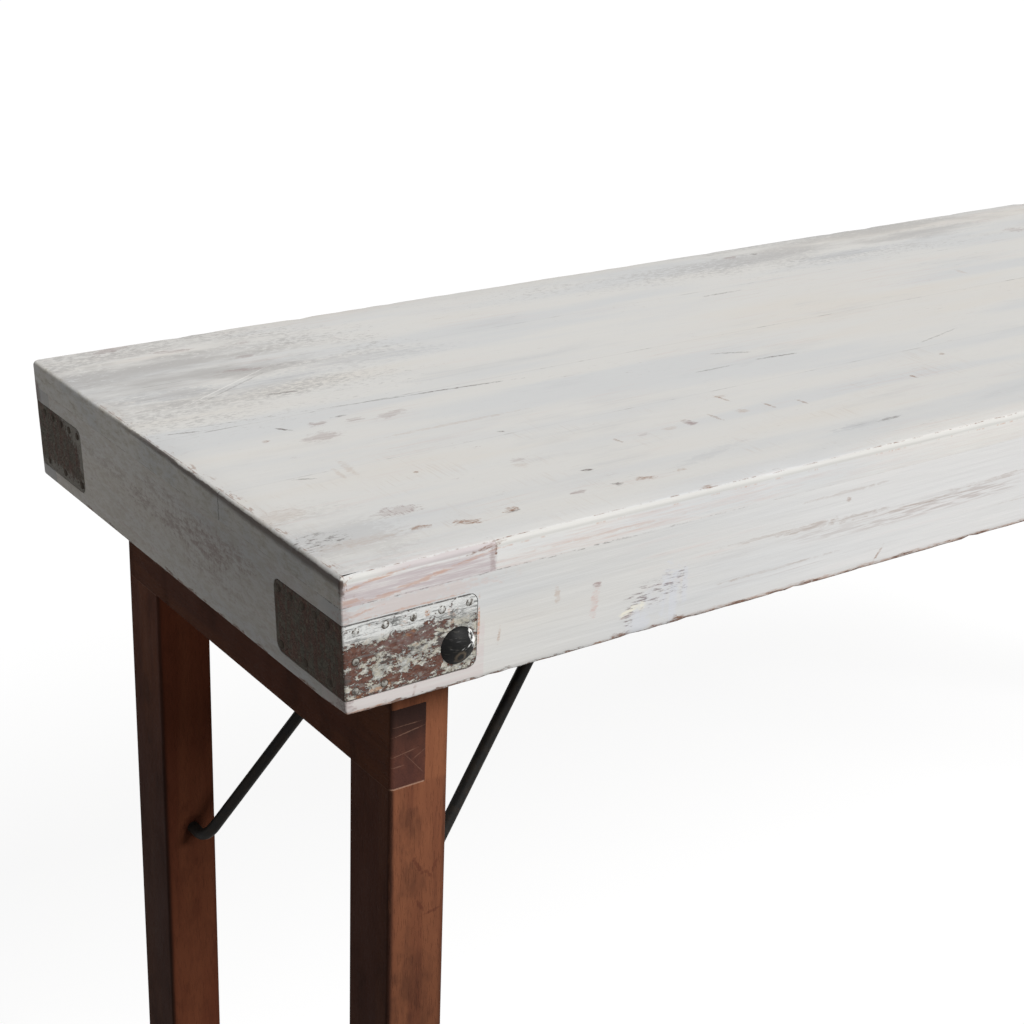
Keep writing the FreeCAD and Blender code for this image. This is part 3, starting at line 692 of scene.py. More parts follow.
for *row, tone in (
    (-712, 711, 3, 12, 0.8, -8, FIRST_COAT),
    (-711, 722, 3, 2, 0.8, 0, MAUVE),
    (-742, 722, 2.2, 6, 0.6, 0, BEIGE),
    (-786, 705, 1.2, 6, 0.9, -8, BEIGE),
    (-680, 696.5, 12, 3.2, 1, 8, colour(228, 224, 208)),
    (-681, 693.5, 9, 1, 0.9, 8, MAUVE),
    (-640, 681, 7, 3.5, 1, 0, BARE_BROWN),
    (-662, 679, 9, 2.5, 1, 0, BARE_BROWN),
    (-690, 679.5, 10, 3, 1, 0, BARE_BROWN),
    (-704, 678.5, 10, 2, 1, 0, CHIP_BROWN),
    (-457, 687, 6, 1.1, 0.7, 50, CHIP_BROWN),
    (-492, 736, 2.5, 1.8, 1, 0, CHIP_BROWN),
    (-848, 681, 1.2, 10, 0.7, -12, BARE_BROWN),
):
    boards.lay(tone, boards.spot("front", *row) * fine.above(0.3))
scrub = boards.marks(
    "front", (-649, 700, 9, 22), (-637, 704, 3, 16, 0.9), (-676, 686, 11, 12, 0.9),
    (-664, 698, 14, 12, 0.5),
)
strokes = boards.grain((0.0045, 0.03, 0.05), 4, 0.6, 121).rise(0.42, 0.56)
boards.lay(colour(204, 206, 211), scrub * strokes.above(0.3) * 0.8)
rows = boards.marks(
    "front", (-664, 705, 24, 9), (-683, 692, 4, 14), (-640, 708, 5, 14, 0.9), (-652, 712, 6, 7, 0.8),
)
cross_lines = boards.grain((0.009, 0.0011), 4, 0.65, 122).rise(0.52, 0.62)
boards.lay(colour(118, 104, 106), cross_lines * rows * 0.8)
left_of_seam = x.rise(-0.7965, -0.7975) * z.rise(0.722, 0.712) * y.rise(-0.1, -0.2)
boards.lay(colour(203, 193, 191), left_of_seam * (0.25 + grain_lines.rise(0.4, 0.6) * 0.45))
corner_rub = boards.marks("front", (-894, 684, 5, 6, 0.7), (-896, 742, 4, 8, 0.5))
boards.lay(MAUVE, corner_rub * fine.above(0.3))
corner_warm = boards.marks("front", (-882, 679.6, 22, 1.4), (-885, 744.5, 14, 0.9, 0.9, 8))
boards.lay(WORN_ORANGE, corner_warm * fine.above(0.3) * 0.8)
around_strap = boards.mark((-0.85, -SIDE_Y, 0.745), (0.06, DEEP, 0.006))
boards.lay(FIRST_COAT, around_strap * 0.4)

breaks = boards.grain((0.014, 0.5), 4, 0.7, 131)
near_left = 0.12 + x.rise(-0.5, -0.8) * 0.88
upper_joint = (JOINT_Z - z + (brushed - 0.5) * 0.003).rise(0.001, 0.0002)
boards.lay(HAIR_DARK, upper_joint * breaks.rise(0.46, 0.58) * fine * near_left * 0.8)
stain = boards.mark((-END_X, 0.227, 0.744), (DEEP, 0.01, 0.01), ragged=0.25)
boards.lay(colour(98, 80, 70), stain * 0.8)
chips = boards.grain((0.02, 0.02, 0.004), 5, 0.7, 132)
low_line = (z - LOW_Z - (chips - 0.5) * 0.006).rise(0.0044, 0.002) * x.rise(-0.66, -0.6)
boards.lay(colour(170, 138, 120), low_line * fine.above(0.3) * 0.85)
strap_edge = boards.marks("front", (-801.6, 716, 0.9, 17), (-850, 740.2, 40, 0.8, 0.7))
boards.lay(colour(184, 136, 108), strap_edge * fine.above(0.3) * 0.8)
inside = y.size().rise(SIDE_Y - 0.004, SIDE_Y - 0.006)
inside = inside * x.size().rise(END_X - 0.01, END_X - 0.012)
painted_long_aprons = apron_done(boards, chips, breaks, inside, brushed, hairs, groups)

ends = Finish("painted_end_aprons", COOL_WHITE)
x, y, z = ends.x, ends.y, ends.z
brushed, hairs, groups = painted(ends, "Y", 203, 0.3)
hatch = ends.grain((0.05, 0.0022, 0.008), 5, 0.7, 211).rise(0.48, 0.68)
hatch_area = ends.mark((-END_X, -0.05, 0.722), (DEEP, 0.07, 0.022), (8, 0, 0))
smut = ends.grain((0.05, 0.013, 0.005), 5, 0.75, 212)
fine = ends.grain((0.05, 0.006, 0.0018), 4, 0.7, 213)
ends.lay(colour(180, 174, 160), smut.rise(0.4, 0.62) * 0.45)
ends.lay(colour(168, 152, 146), fine.rise(0.5, 0.66) * 0.35)
ends.shade(1 + y.rise(-0.1, 0.12) * 0.28)
smudges = ends.marks(
    "left", (39, 722, 34, 8, 0.7), (-10, 722, 38, 9, 0.8), (-52, 724, 40, 13), (-92, 731, 28, 9, 0.8),
    (10, 738, 42, 6, 0.5), (100, 728, 40, 6, 0.4), (-60, 704, 40, 5, 0.5),
)
ends.lay(MAUVE, smudges * smut.rise(0.42, 0.6) * 0.7)
ends.lay(MAUVE, hatch * hatch_area * 0.42)
hatch_right = ends.mark((END_X, 0.06, 0.715), (DEEP, 0.08, 0.02), (-6, 0, 0))
ends.lay(MAUVE, hatch * hatch_right * 0.4)
breaks = ends.grain((0.5, 0.014, 0.5), 4, 0.7, 231)
upper_joint = (JOINT_Z - z).rise(0.0007, 0.0002)
ends.lay(HAIR_DARK, upper_joint * breaks.rise(0.48, 0.58) * 0.4)
chips = ends.grain((0.02, 0.02, 0.004), 5, 0.7, 232)
inside = x.size().rise(END_X - 0.012, END_X - 0.014)
painted_end_aprons = apron_done(ends, chips, breaks, inside, brushed, hairs, groups)

for name, side in (("front", -1), ("rear", 1)):
    near, far = sorted((side * SIDE_Y, side * (SIDE_Y - APRON_THICK)))
    shape = block((-END_X, near, LOW_Z), (END_X, far, JOINT_Z))
    rounded(shape, corner_edges(shape, side), CORNER_ROUND[side], 4)
    rounded(shape, outer_edges(shape, LOW_Z), 0.0016, 3)
    leaning_ends(shape)
    sawn_across(shape, 0, -END_X + 0.012, END_X - 0.012, 0.008)
    sawn_across(shape, 2, LOW_Z + 0.0018, LOW_Z + 0.0084, 0.0022)
    worn(shape, rub_lower_arris, 0.0008, 0.02)
    long_name = "long_apron_" + name
    apron = piece_of(
        long_name, shape, "tabletop", "white_paint_wood", painted_long_aprons, "apron_" + name
    )
    cut_away(apron, *[strap_shape(STRAP_PLAY, corner) for corner in CORNERS.values() if corner[1] == -side])

for name, side in (("left", -1), ("right", 1)):
    low_x, high_x = sorted((side * END_X, side * END_APRON_INSIDE))
    reach = SIDE_Y - APRON_THICK
    shape = block((low_x, -reach, LOW_Z), (high_x, reach, JOINT_Z))
    lower = edges_where(
        shape, lambda co: co.z < LOW_Z + 0.001 and side * co.x > END_X - 0.001
    )
    rounded(shape, lower, 0.0016, 3)
    for vert in shape.verts:
        if side * vert.co.x > END_X - 0.004:
            vert.co.x -= side * lean_at(vert.co.z)
    sawn_across(shape, 1, -reach, reach, 0.008)
    apron = piece_of(
        "end_apron_" + name, shape, "tabletop", "white_paint_wood", painted_end_aprons, "apron_" + name
    )
    cut_away(apron, *[strap_shape(STRAP_PLAY, corner) for corner in CORNERS.values() if corner[0] == -side])


# The corner straps and their nails
#
# Strip iron bent round each corner and let in flush, held by small round-headed nails. It has rusted
# under the paint, which is left in chalky flakes, thickest along the upper edge of the front.

CHALK = colour(214, 215, 213)
FLAKE_GREY = colour(142, 142, 137)
FLAKE_CREAM = colour(176, 172, 159)
STEEL_GREY = colour(104, 104, 104)
RUST = colour(102, 71, 61)
RUST_DARK = colour(76, 54, 47)
RUST_MAUVE = colour(112, 90, 86)
RUST_ORANGE = colour(160, 104, 58)
IRON_DARK = colour(62, 56, 52)


def front_share(finish):
    """1 on the front and the rear of the box, 0 on its ends."""
    return finish.y.size().rise(SIDE_Y - 0.0012, SIDE_Y - 0.0006)


iron = Finish("flaked_strap", RUST)
z = iron.z
flakes = iron.grain((0.0075, 0.0075, 0.0055), 6, 0.75, 7)
small = iron.grain((0.0032, 0.0032, 0.0026), 5, 0.8, 8)
streaks = iron.grain((0.02, 0.02, 0.0018), 4, 0.7, 9)
mottle = iron.grain((0.006, 0.006, 0.0026), 6, 0.8, 10)
height_share = (z - STRAP_LOW) / (STRAP_HIGH - STRAP_LOW)
on_front = front_share(iron)
upper = height_share.rise(0.66, 0.82) * on_front
bared = iron.marks(
    "front", (-889, 717.5, 17, 6.5, 1, 8), (-853, 719, 20, 7, 0.8), (-835, 725, 10, 5, 0.7),
    (-863, 697, 5, 7, 1, 14), (-842, 696, 16, 4.5, 1, 14), (-892, 704, 4, 6, 0.7),
    (-884, 699, 3, 6, 0.7, 14), (-828, 701, 6, 5, 0.8, 29),
)
kept = iron.marks(
    "front", (-876, 724.5, 9, 3.5, 0.7), (-846, 711, 12, 6, 0.8), (-871, 704, 7, 6, 0.8),
    (-855, 702, 5, 6, 0.7), (-812, 724, 12, 12, 0.9), (-815, 695, 12, 4, 0.8, 8), (-880, 692, 9, 3, 0.6),
)
level = flakes * 0.55 + small * 0.45
cover = level - 0.5 + (mottle - 0.5) * 0.42 + kept * 0.09 - bared * 0.12 + upper * 0.1
mauve_side = iron.marks("front", (-848, 720, 26, 12))
iron.lay(RUST_DARK, small.rise(0.44, 0.62))
iron.lay(RUST_MAUVE, mauve_side * flakes.rise(0.4, 0.56))
iron.lay(STEEL_GREY, streaks.rise(0.56, 0.66) * 0.6)
iron.lay(FLAKE_GREY, mottle.rise(0.5, 0.62) * 0.6)
coat = iron.blend(
    FLAKE_GREY,
    *(FLAKE_CREAM, flakes.rise(0.44, 0.58)),
    *(CHALK, upper.most(small.rise(0.5, 0.6) * 0.5)),
    *(STEEL_GREY, mottle.rise(0.5, 0.4) * 0.75 * (1 - upper * 0.6)),
)
iron.lay(coat, cover.rise(-0.02, 0.02))
iron.lay(colour(96, 96, 95), streaks.rise(0.5, 0.6) * upper * mottle.rise(0.4, 0.54) * 0.85)
# Dark grey grime on the front strap, and a painted shadow of the bolt head: the mark just left of the head,
# at -829 mm.
grime_and_bolt_shadow = iron.marks(
    "front", (-861, 733, 5, 2.5), (-818, 727, 7, 5, 0.9), (-829, 714, 4, 9), (-868, 708, 6, 4, 0.8),
    (-896, 702, 4, 4, 0.8), (-846, 714, 10, 4, 0.7),
)
iron.lay(colour(84, 84, 82), grime_and_bolt_shadow * mottle.rise(0.58, 0.44) * 0.85)
orange = iron.marks(
    "front", (-856, 731, 3, 1.6), (-839, 732.5, 2, 4, 1, 14), (-851, 724, 4, 3, 0.8),
    (-822, 729, 4, 2, 0.9, -50), (-821, 722, 1.6, 4, 0.8), (-867, 693.5, 4, 3, 0.9),
    (-880, 690.5, 12, 1.8, 0.8, 8),
)
specks = iron.grain((0.0032, 0.0032, 0.0024), 3, 0.6, 12).rise(0.62, 0.68) * 0.5
iron.lay(RUST_ORANGE, orange.most(specks) * mottle.rise(0.46, 0.56) * on_front * 0.75)
edge_in = (z - STRAP_LOW).least(STRAP_HIGH - z)
iron.lay(IRON_DARK, edge_in.rise(0.0008, 0.0003) * flakes.rise(0.4, 0.52) * 0.8)
upright = iron.grain((0.006, 0.006, 0.024), 5, 0.75, 13)
painted_over = iron.marks("left", (160, 734, 38, 10, 1, 29), (149, 714, 5, 16), (188, 690, 56, 7))
side_tone = iron.blend(
    colour(96, 92, 82),
    *(colour(94, 70, 60), (upright * 0.6 + flakes * 0.4).rise(0.43, 0.57)),
    *(colour(150, 146, 130), small.rise(0.56, 0.68) * 0.7),
    *(colour(50, 40, 36), flakes.rise(0.56, 0.66) * 0.7),
    *(colour(176, 172, 164), painted_over * 0.85),
)
iron.paint = iron.blend(side_tone, iron.paint, on_front)
relief = cover.rise(-0.02, 0.02) * 0.6 + small * 0.6
flaked_strap = iron.done(0.62 + small * 0.2, relief, 0.0006, gloss=0.15)

for name, corner in CORNERS.items():
    shape = strap_shape(0, corner)
    sawn_across(shape, 0, *sorted((corner[0] * -0.9, corner[0] * -0.8)), 0.006)
    sawn_across(shape, 2, STRAP_LOW, STRAP_HIGH, 0.006)
    for vert in shape.verts:
        dent = max(0, noise.noise(vert.co / 0.018)) * 0.0006
        inwards = to_middle(vert.co)
        if SIDE_Y - abs(vert.co.y) < 0.001:
            vert.co.y += inwards.y * dent
        elif END_X - abs(vert.co.x) < 0.005:
            vert.co.x += inwards.x * dent
    piece_of("strap_" + name, shape, "tabletop", "strap_iron", flaked_strap, "corner_strap_" + name)

nail_iron = Finish("nail_heads", colour(84, 76, 68))
bits = nail_iron.grain((0.003,), 4, 0.7, 6)
nail_iron.lay(colour(100, 92, 82), bits.rise(0.42, 0.6))
light_head = nail_iron.blend(
    colour(84, 78, 72),
    *(colour(150, 148, 142), bits.rise(0.4, 0.58)),
    *(CHALK, bits.rise(0.44, 0.58) * nail_iron.z.rise(0.725, 0.73) * 0.7),
)
nail_iron.lay(light_head, front_share(nail_iron))
nail_heads = nail_iron.done(0.75, bits, 0.0003, gloss=0.1)

ring_iron = Finish("nail_rings", colour(84, 76, 68))
bits = ring_iron.grain((0.004,), 4, 0.7, 9)
light_ring = front_share(ring_iron) * ring_iron.z.rise(0.725, 0.73) * 0.8
ring_iron.lay(ring_iron.blend(colour(66, 58, 52), CHALK, light_ring), bits.rise(0.46, 0.54))
nail_rings = ring_iron.done(0.8, gloss=0.1)

UPPER_NAILS = STRAP_HIGH - 0.0055
LOWER_NAILS = STRAP_LOW + 0.0055
MIDDLE_NAIL = (STRAP_LOW + STRAP_HIGH) / 2
NAIL_HEAD = 0.0024
NAIL_SIDES = 12
RING_HIGH = 0.0003
FRONT_NAILS = (0.011, 0.0915)  # the first and the last from the corner, on the front
SIDE_NAILS = (0.0175, 0.0775)


def short_cone(shape, low_radius, high_radius, high, seat):
    made = bmesh.ops.create_cone(
        shape, cap_ends=True, segments=NAIL_SIDES, radius1=low_radius, radius2=high_radius, depth=high
    )
    bmesh.ops.transform(shape, matrix=seat, verts=made["verts"])
    return made["verts"]


heads = bmesh.new()
for number in range(5):
    share = number / 4
    front_x = -END_X + FRONT_NAILS[0] + share * (FRONT_NAILS[1] - FRONT_NAILS[0])
    side_y = -SIDE_Y + SIDE_NAILS[0] + share * (SIDE_NAILS[1] - SIDE_NAILS[0])
    front_rows = [UPPER_NAILS, LOWER_NAILS, MIDDLE_NAIL][: max(1, 3 - number)]
    side_rows = [UPPER_NAILS] if number % 2 else [UPPER_NAILS, LOWER_NAILS]
    spots = [(Vector((front_x, -SIDE_Y, row)), "Y") for row in front_rows]
    for row in side_rows:
        spots.append((Vector((-END_X + lean_at(row), side_y, row)), "X"))
    for corner in CORNERS.values():
        for spot, axis in spots:
            turn = Matrix.Rotation(math.radians(90), 4, "X" if axis == "Y" else "Y")
            if axis == "X":
                turn = turn @ Matrix.Rotation(math.radians(180), 4, "X")
            seat = Matrix.Diagonal((corner[0], corner[1], 1, 1)) @ Matrix.Translation(spot) @ turn
            wide = NAIL_HEAD * 1.17
            ring = short_cone(heads, wide, wide, RING_HIGH, seat)
            for face in {face for vert in ring for face in vert.link_faces}:
                face.material_index = 1
            on_ring = seat @ Matrix.Translation((0, 0, 0.00025))
            short_cone(heads, NAIL_HEAD, NAIL_HEAD * 0.7, 0.0005, on_ring)
nails = piece_of("strap_nail_heads", heads, "tabletop", "nail_iron", nail_heads, "strap_nails")
nails.data.materials.append(nail_rings)


# The pivot bolts, their spacers, washers and nuts
#
# Coach bolts with domed heads, painted black, on which the legs turn. The heads stand on the straps
# and are knocked and scratched; spacers, washers and nuts are hidden inside the box.

PIVOT_X = END_X - 0.0835
PIVOT_Z = LOW_Z + 0.028
HEAD_RADIUS = 0.0126
HEAD_HIGH = 0.0064
HEAD_STEPS = 8
BOLT_RADIUS = 0.00475
BOLT_LONG = 0.0986
HEAD_BACK = 0.0004
BOLT_SHANK = ((HEAD_RADIUS, HEAD_BACK), (BOLT_RADIUS, HEAD_BACK), (BOLT_RADIUS, BOLT_LONG), (0, BOLT_LONG))

black = Finish("black_bolt_heads", colour(17, 17, 17))
scuffs = black.grain((0.006, 0.006, 0.0015), 4, 0.6, 3)
knocks = black.grain((0.004,), 4, 0.7, 4)
black.lay(colour(46, 45, 42), scuffs.rise(0.54, 0.7))
brushed = black.grain((0.01, 0.01, 0.0009), 3, 0.6, 5).rise(0.6, 0.7)
black.lay(colour(120, 120, 120), brushed * scuffs.rise(0.46, 0.6) * 0.5)
chips = black.marks(
    "front", (-806, 708, 3.8, 3.4), (-808, 713.5, 2.6, 2.4), (-805, 703.5, 2, 3, 0.9),
    (-811.5, 707, 3, 0.6, 0.8, 29), (-816.5, 706, 2.2, 0.4, 0.5, 29),
)
black.lay(colour(226, 226, 224), chips * knocks.rise(0.36, 0.46))
ring_mark = black.mark((-PIVOT_X - 0.001, -0.236, PIVOT_Z - 0.006), (0.004, DEEP, 0.0046), ragged=0.2)
ring_hole = black.mark((-PIVOT_X - 0.001, -0.236, PIVOT_Z - 0.006), (0.003, DEEP, 0.0036), ragged=0.2)
black.lay(colour(128, 114, 98), (ring_mark - ring_hole).most(0) * 0.8)
black_bolt_heads = black.done(0.42 + scuffs * 0.3, scuffs + knocks * 0.5, 0.0003, gloss=0.14)

bolts = bmesh.new()
sphere_radius = (HEAD_RADIUS**2 + HEAD_HIGH**2) / (2 * HEAD_HIGH)
whole_angle = math.asin(HEAD_RADIUS / sphere_radius)
for side_x in (-1, 1):
    for side_y in (-1, 1):
        profile = []
        for step in range(HEAD_STEPS + 1):
            angle = whole_angle * step / HEAD_STEPS
            out = sphere_radius * (1 - math.cos(angle)) - HEAD_HIGH
            profile.append(bolts.verts.new((sphere_radius * math.sin(angle), 0, out)))
        for out, along in BOLT_SHANK:
            profile.append(bolts.verts.new((out, 0, along)))
        outline = [bolts.edges.new(pair) for pair in zip(profile, profile[1:])]
        bmesh.ops.spin(
            bolts,
            geom=profile + outline,
            cent=(0, 0, 0),
            axis=(0, 0, 1),
            dvec=(0, 0, 0),
            angle=math.tau,
            steps=40,
            use_merge=True,
        )
        made = [vert for vert in bolts.verts if not vert.tag]
        bmesh.ops.remove_doubles(bolts, verts=made, dist=1e-6)
        made = [vert for vert in bolts.verts if not vert.tag]
        for vert in made:
            if vert.co.z < -0.0005:
                vert.co.z += 0.0002 * noise.noise(vert.co / 0.004 + Vector((side_x, side_y, 0)))
        seat = Matrix.Translation((side_x * PIVOT_X, side_y * SIDE_Y, PIVOT_Z))
        turn = Matrix.Rotation(math.radians(-90 if side_y < 0 else 90), 4, "X")
        bmesh.ops.transform(bolts, matrix=seat @ turn, verts=made)
        for vert in made:
            vert.tag = True
piece_of("coach_bolts", bolts, "tabletop", "black_iron", black_bolt_heads, "pivot_bolts")


def give(finish, *nodes):
    """Puts a finish on CAD nodes whose shape is right as it is."""
    for node in nodes:
        for material_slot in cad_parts[node].material_slots:
            material_slot.material = finish


hidden_iron = Finish("dull_iron", colour(70, 66, 62))
spots = hidden_iron.grain((0.004,), 4, 0.6, 2)
hidden_iron.lay(colour(96, 80, 68), spots.rise(0.45, 0.65))
dull_iron = hidden_iron.done(0.5 + spots * 0.3, spots, 0.0003, metal=0.6)
zinc = Finish("zinc_plated", colour(168, 168, 166))
spots = zinc.grain((0.003,), 4, 0.6, 2)
zinc.lay(colour(128, 122, 112), spots.rise(0.5, 0.68))
zinc_plated = zinc.done(0.36 + spots * 0.3, spots, 0.0002, metal=0.9)
give(dull_iron, "leg_spacers", "stay_catch_left", "stay_catch_right")
give(zinc_plated, "pivot_nuts", "nut_washers", "batten_screws", "catch_screws")


# The battens under the planks
#
# Three bare sawn battens, screwed up into the planks to hold them flat.

batten_wood = Finish("bare_battens", colour(168, 134, 98))
rings = batten_wood.grain((0.0035, 0.11, 0.0035), 4, 0.6, 4)
pores = batten_wood.grain((0.001, 0.02, 0.001), 2, 0.5, 5)
batten_wood.lay(colour(128, 94, 66), rings.rise(0.4, 0.64))
batten_wood.lay(colour(92, 66, 48), pores.rise(0.6, 0.72) * 0.6)
bare_battens = batten_wood.done(0.7, rings * 0.6 + pores * 0.4, 0.0005, gloss=0.25)
give(bare_battens, "batten_left", "batten_middle", "batten_right")


# The leg frames
#
# Two square legs and two rails each, planed hardwood with eased edges, stained red-brown and rubbed
# nearly dull. The rails are let into the legs' outer faces and nailed.

STAIN_LIGHT = colour(124, 78, 56)
STAIN_RED = colour(104, 62, 46)
STAIN_DARK = colour(72, 46, 37)
STAIN_BLACK = colour(44, 30, 27)
LEG_OUTER_X = PIVOT_X + 0.0265
LEG_INNER_X = LEG_OUTER_X - 0.044
LEG_BACK_Y = LEG_FRONT_Y - 0.052
RAIL_BOTTOM = LOW_Z - 0.084


def stained(name, along, seed):
    """Red-brown stain over open-grained wood whose grain runs along one axis."""
    finish = Finish(name, STAIN_RED)
    broad = finish.grain(streaks_along(along, 0.3, 0.022), 3, 0.5, seed)
    figure = finish.grain(streaks_along(along, 0.075, 0.006), 4, 0.6, seed + 1)
    pores = finish.grain(streaks_along(along, 0.01, 0.0008), 2, 0.5, seed + 2)
    blotches = finish.grain((0.028, 0.028, 0.05), 4, 0.6, seed + 3)
    finish.lay(STAIN_LIGHT, broad.rise(0.42, 0.62))
    finish.lay(STAIN_DARK, figure.rise(0.5, 0.74) * 0.28)
    finish.lay(STAIN_DARK, blotches.rise(0.5, 0.7) * 0.55)
    finish.lay(STAIN_BLACK, pores.rise(0.58, 0.7) * 0.16)
    relief = figure * 0.3 - pores.rise(0.56, 0.68) * 0.4
    return finish, figure, blotches, relief


legs, figure, blotches, relief = stained("stained_legs", "Z", 5)
x, y, z = legs.x, legs.y, legs.z
from_outside = LEG_OUTER_X - x.size()
edge_x = (x.size() - LEG_INNER_X).least(from_outside)
edge_y = (y.size() - LEG_BACK_Y).least(LEG_FRONT_Y - y.size())
near_edge = edge_x + edge_y
legs.lay(STAIN_BLACK, (near_edge + (figure - 0.5) * 0.006).rise(0.0048, 0.001) * 0.55)
# Painted shade: the legs' outer faces are darkened, as if they lay in shadow.
legs.lay(STAIN_BLACK, from_outside.rise(0.003, 0.001) * 0.55)
ring_dark = legs.mark((-0.8195, 0.1447, 0.381), (0.01, DEEP, 0.011), ragged=0.3)
legs.lay(STAIN_BLACK, ring_dark * 0.85)
above_lap = z.rise(RAIL_BOTTOM - 0.002, RAIL_BOTTOM + 0.002)
above_lap = above_lap * y.size().rise(LEG_FRONT_Y - 0.002, LEG_FRONT_Y)
legs.lay(colour(138, 88, 62), above_lap * (0.3 + figure.rise(0.4, 0.6) * 0.3))
side_line = (z - RAIL_BOTTOM).size().rise(0.0008, 0.0003) * from_outside.rise(0.001, 0.0004)
legs.lay(colour(150, 122, 104), side_line * 0.22)
rear = y.rise(0, 0.1)
# Painted light: the rear legs, but for their outer faces, take a warmer, redder tone that stands in for
# warm light bounced under the top.
legs.lay(colour(116, 58, 36), rear * from_outside.rise(0.0004, 0.003) * 0.4)
brushes = legs.grain((0.004, 0.004, 0.03), 4, 0.6, 31)
legs.lay(colour(148, 96, 68), brushes.rise(0.54, 0.72) * y.rise(-0.19, -0.196) * 0.22)
curls = legs.marks(
    "leg", (-821, 531, 1.5, 8, 0.9, 29), (-813, 523, 5, 1.3, 0.8, -50), (-808, 527, 1.2, 6, 0.7, -20),
    (-819, 500, 1.4, 6, 0.8, 29), (-810, 492, 7, 1.4, 0.8, 8),
)
legs.lay(colour(74, 38, 32), curls * y.rise(-0.18, -0.19) * 0.5)
# Darker towards the bottom. On the rear legs the upper part is made lighter: painted light, standing in for
# light where the top casts its shadow.
legs.shade(0.58 + z.rise(0.3, 0.62) * 0.44 + rear * (z.rise(0.38, 0.62) * 0.6 - 0.04))
stained_legs = legs.done(0.55 + blotches * 0.2, relief, 0.0004, gloss=0.03)

rails, figure, blotches, relief = stained("stained_rails", "Y", 25)
y, z = rails.y, rails.z
rails.shade(0.6)
end_grain = y.size().rise(LEG_FRONT_Y - 0.003, LEG_FRONT_Y - 0.001)
end_low = rails.blend(colour(92, 58, 48), colour(78, 50, 44), blotches.rise(0.42, 0.6))
end_tone = rails.blend(end_low, colour(50, 36, 33), (z + (blotches - 0.5) * 0.06).rise(0.604, 0.64))
rails.lay(end_tone, end_grain * 0.95)
cracks = rails.marks(
    "leg", (-830, 639.4, 13, 0.35, 0.9), (-830, 634, 13, 0.35, 1, 8), (-831, 619.5, 13, 0.35, 0.9, 8),
    (-826, 610.5, 14, 0.3, 0.6, -50), (-838, 610.5, 5, 0.4, 0.7), (-822, 615.5, 6, 0.4, 0.6, 29),
)
lap_line = (z - RAIL_BOTTOM).size().rise(0.0014, 0.0006) * blotches.rise(0.36, 0.46)
rails.lay(colour(166, 130, 110), (cracks * 0.3).most(lap_line * 0.8) * end_grain)
stained_rails = rails.done(0.55 + blotches * 0.2, relief, 0.0004, gloss=0.03)
for side in ("left", "right"):
    give(stained_legs, "leg_front_" + side, "leg_rear_" + side)
    give(stained_rails, "upper_rail_" + side, "lower_rail_" + side, "rail_nails_" + side)


# The stays
#
# One round iron rod each, bent to an open trapezoid and painted black. Its ends turn in the legs,
# and its crossbar hooks into a catch under the top when the frame stands.

ROD_RADIUS = 0.00475
ROD_BEND = 0.014
ROD_ROUTE = (
    (-0.8195, -0.1777, 0.381),
    (-0.8195, -0.1227, 0.381),
    (-0.557, -0.063, 0.72),
    (-0.557, 0.063, 0.72),
    (-0.8195, 0.1227, 0.381),
    (-0.8195, 0.1777, 0.381),
)

rods = Finish("black_stays", colour(25, 24, 23))
scale = rods.grain((0.008,), 5, 0.65, 3)
pits = rods.grain((0.0022,), 4, 0.6, 4)
rods.lay(colour(36, 32, 28), scale.rise(0.42, 0.6))
rods.lay(colour(66, 50, 40), pits.rise(0.62, 0.72) * 0.5)
black_stays = rods.done(0.42 + scale * 0.25, scale * 0.6 + pits * 0.4, 0.0003, gloss=0.12)


def bent_rod(route, radius, bend):
    """A round rod drawn along straight runs, turned through an arc at each corner of the route."""
    route = [Vector(corner) for corner in route]
    rod = bmesh.new()
    first = (route[1] - route[0]).normalized()
    facing = first.to_track_quat("Z", "Y").to_matrix().to_4x4()
    seat = Matrix.Translation(route[0]) @ facing
    bmesh.ops.create_circle(rod, cap_ends=True, segments=24, radius=radius, matrix=seat)
    loop = rod.edges[:]
    here = route[0]
    for before, corner, after in zip(route, route[1:], route[2:]):
        back = (before - corner).normalized()
        ahead = (after - corner).normalized()
        half = back.angle(ahead) / 2
        setback = bend / math.tan(half)
        centre = corner + (back + ahead).normalized() * (bend / math.sin(half))
        run = corner + back * setback - here
        loop = drawn_out(rod, loop, run)
        spun = bmesh.ops.spin(
            rod,
            geom=loop,
            cent=centre,
            axis=ahead.cross(back).normalized(),
            dvec=(0, 0, 0),
            angle=math.pi - 2 * half,
            steps=10,
            use_merge=False,
        )["geom_last"]
        loop = [item for item in spun if isinstance(item, bmesh.types.BMEdge)]
        here = corner + ahead * setback
    bmesh.ops.edgeloop_fill(rod, edges=drawn_out(rod, loop, route[-1] - here))
    return rod


for side, mirror in (("left", 1), ("right", -1)):
    shape = bent_rod(ROD_ROUTE, ROD_RADIUS, ROD_BEND)
    bmesh.ops.scale(shape, vec=(mirror, 1, 1), verts=shape.verts)
    piece_of("stay_" + side, shape, side + "_stay", "black_iron", black_stays, "stay_rod_" + side)


# The room
#
# A plain pale floor, which is clear from below, one broad soft lamp from the front right, and even
# light all around. The camera sees the floor and the room as white.


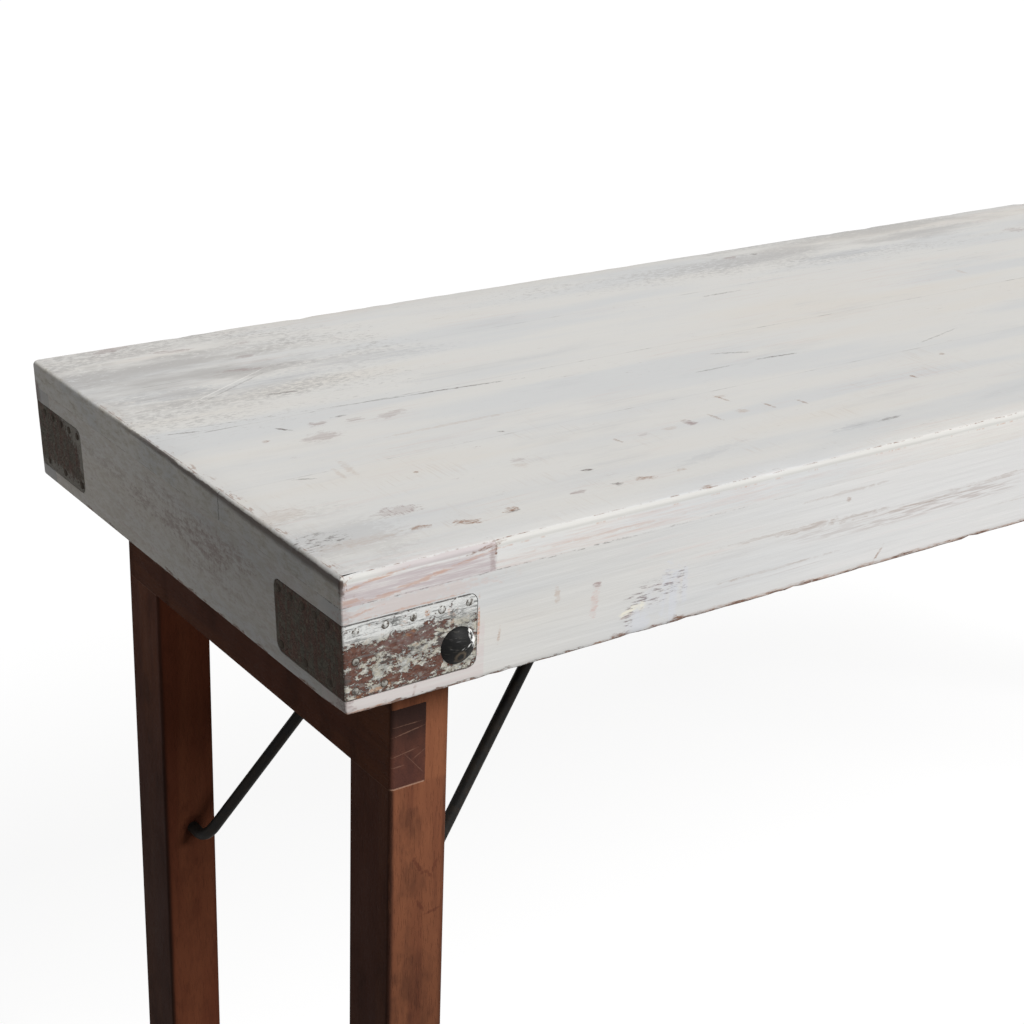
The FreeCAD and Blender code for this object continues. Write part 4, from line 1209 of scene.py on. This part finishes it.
def seen(tree):
    """1 for all that the camera sees, also by a reflection or through something clear."""
    kinds = ("Is Camera Ray", "Is Glossy Ray", "Is Transmission Ray")
    camera_ray, glossy_ray, clear_ray = [tree.node("LightPath", output=kind) for kind in kinds]
    return camera_ray.most(glossy_ray).most(clear_ray)


floor_mesh = bpy.data.meshes.new("floor")
shape = bmesh.new()
bmesh.ops.create_grid(shape, x_segments=1, y_segments=1, size=40)
shape.to_mesh(floor_mesh)
shape.free()
floor = placed("floor", floor_mesh)
ground = Finish("pale_floor")
matt = ground.node("BsdfDiffuse", {}, {"Color": colour(112, 112, 112)})
glow = ground.node("Emission", {}, {"Color": (1, 1, 1, 1), "Strength": 0.9})
faint = ground.node("BsdfDiffuse", {}, {"Color": (0.13, 0.13, 0.13, 1)})
white = ground.node("AddShader", {}, {0: glow, 1: faint})
upper_side = ground.node("MixShader", {}, {0: seen(ground), 1: matt, 2: white})
below = ground.node("NewGeometry", output="Backfacing")
both_sides = ground.node("MixShader", {}, {0: below, 1: upper_side, 2: ground.node("BsdfTransparent")})
ground.node("OutputMaterial", {}, {0: both_sides})
floor_mesh.materials.append(ground.material)

world = bpy.data.worlds.new("room")
world.use_nodes = True
bpy.context.scene.world = world
room = Tree(world.node_tree)
even_light = room.node("Background", {}, {"Color": (1, 0.96, 0.92, 1), "Strength": 0.17})
backdrop = room.node("Background", {}, {"Color": (1, 1, 1, 1), "Strength": 1})
choice = room.node("MixShader", {}, {0: seen(room), 1: even_light, 2: backdrop})
room.node("OutputWorld", {}, {0: choice})

lamp_data = bpy.data.lights.new("soft_lamp", "SUN")
lamp_data.energy = 4.05
lamp_data.angle = math.radians(28)
lamp = placed("soft_lamp", lamp_data)
lamp.rotation_euler = Vector((0.37, -0.69, 0.63)).to_track_quat("Z", "Y").to_euler()

camera_data = bpy.data.cameras.new("camera")
camera_data.lens = 69.025
camera_data.sensor_width = 36
camera = placed("camera", camera_data)
camera.location = (-1.4204, -1.1227, 1.2429)
camera.rotation_euler = [math.radians(angle) for angle in (67.433, -1.993, -34.845)]
bpy.context.scene.camera = camera
bpy.context.scene.view_settings.view_transform = "Standard"
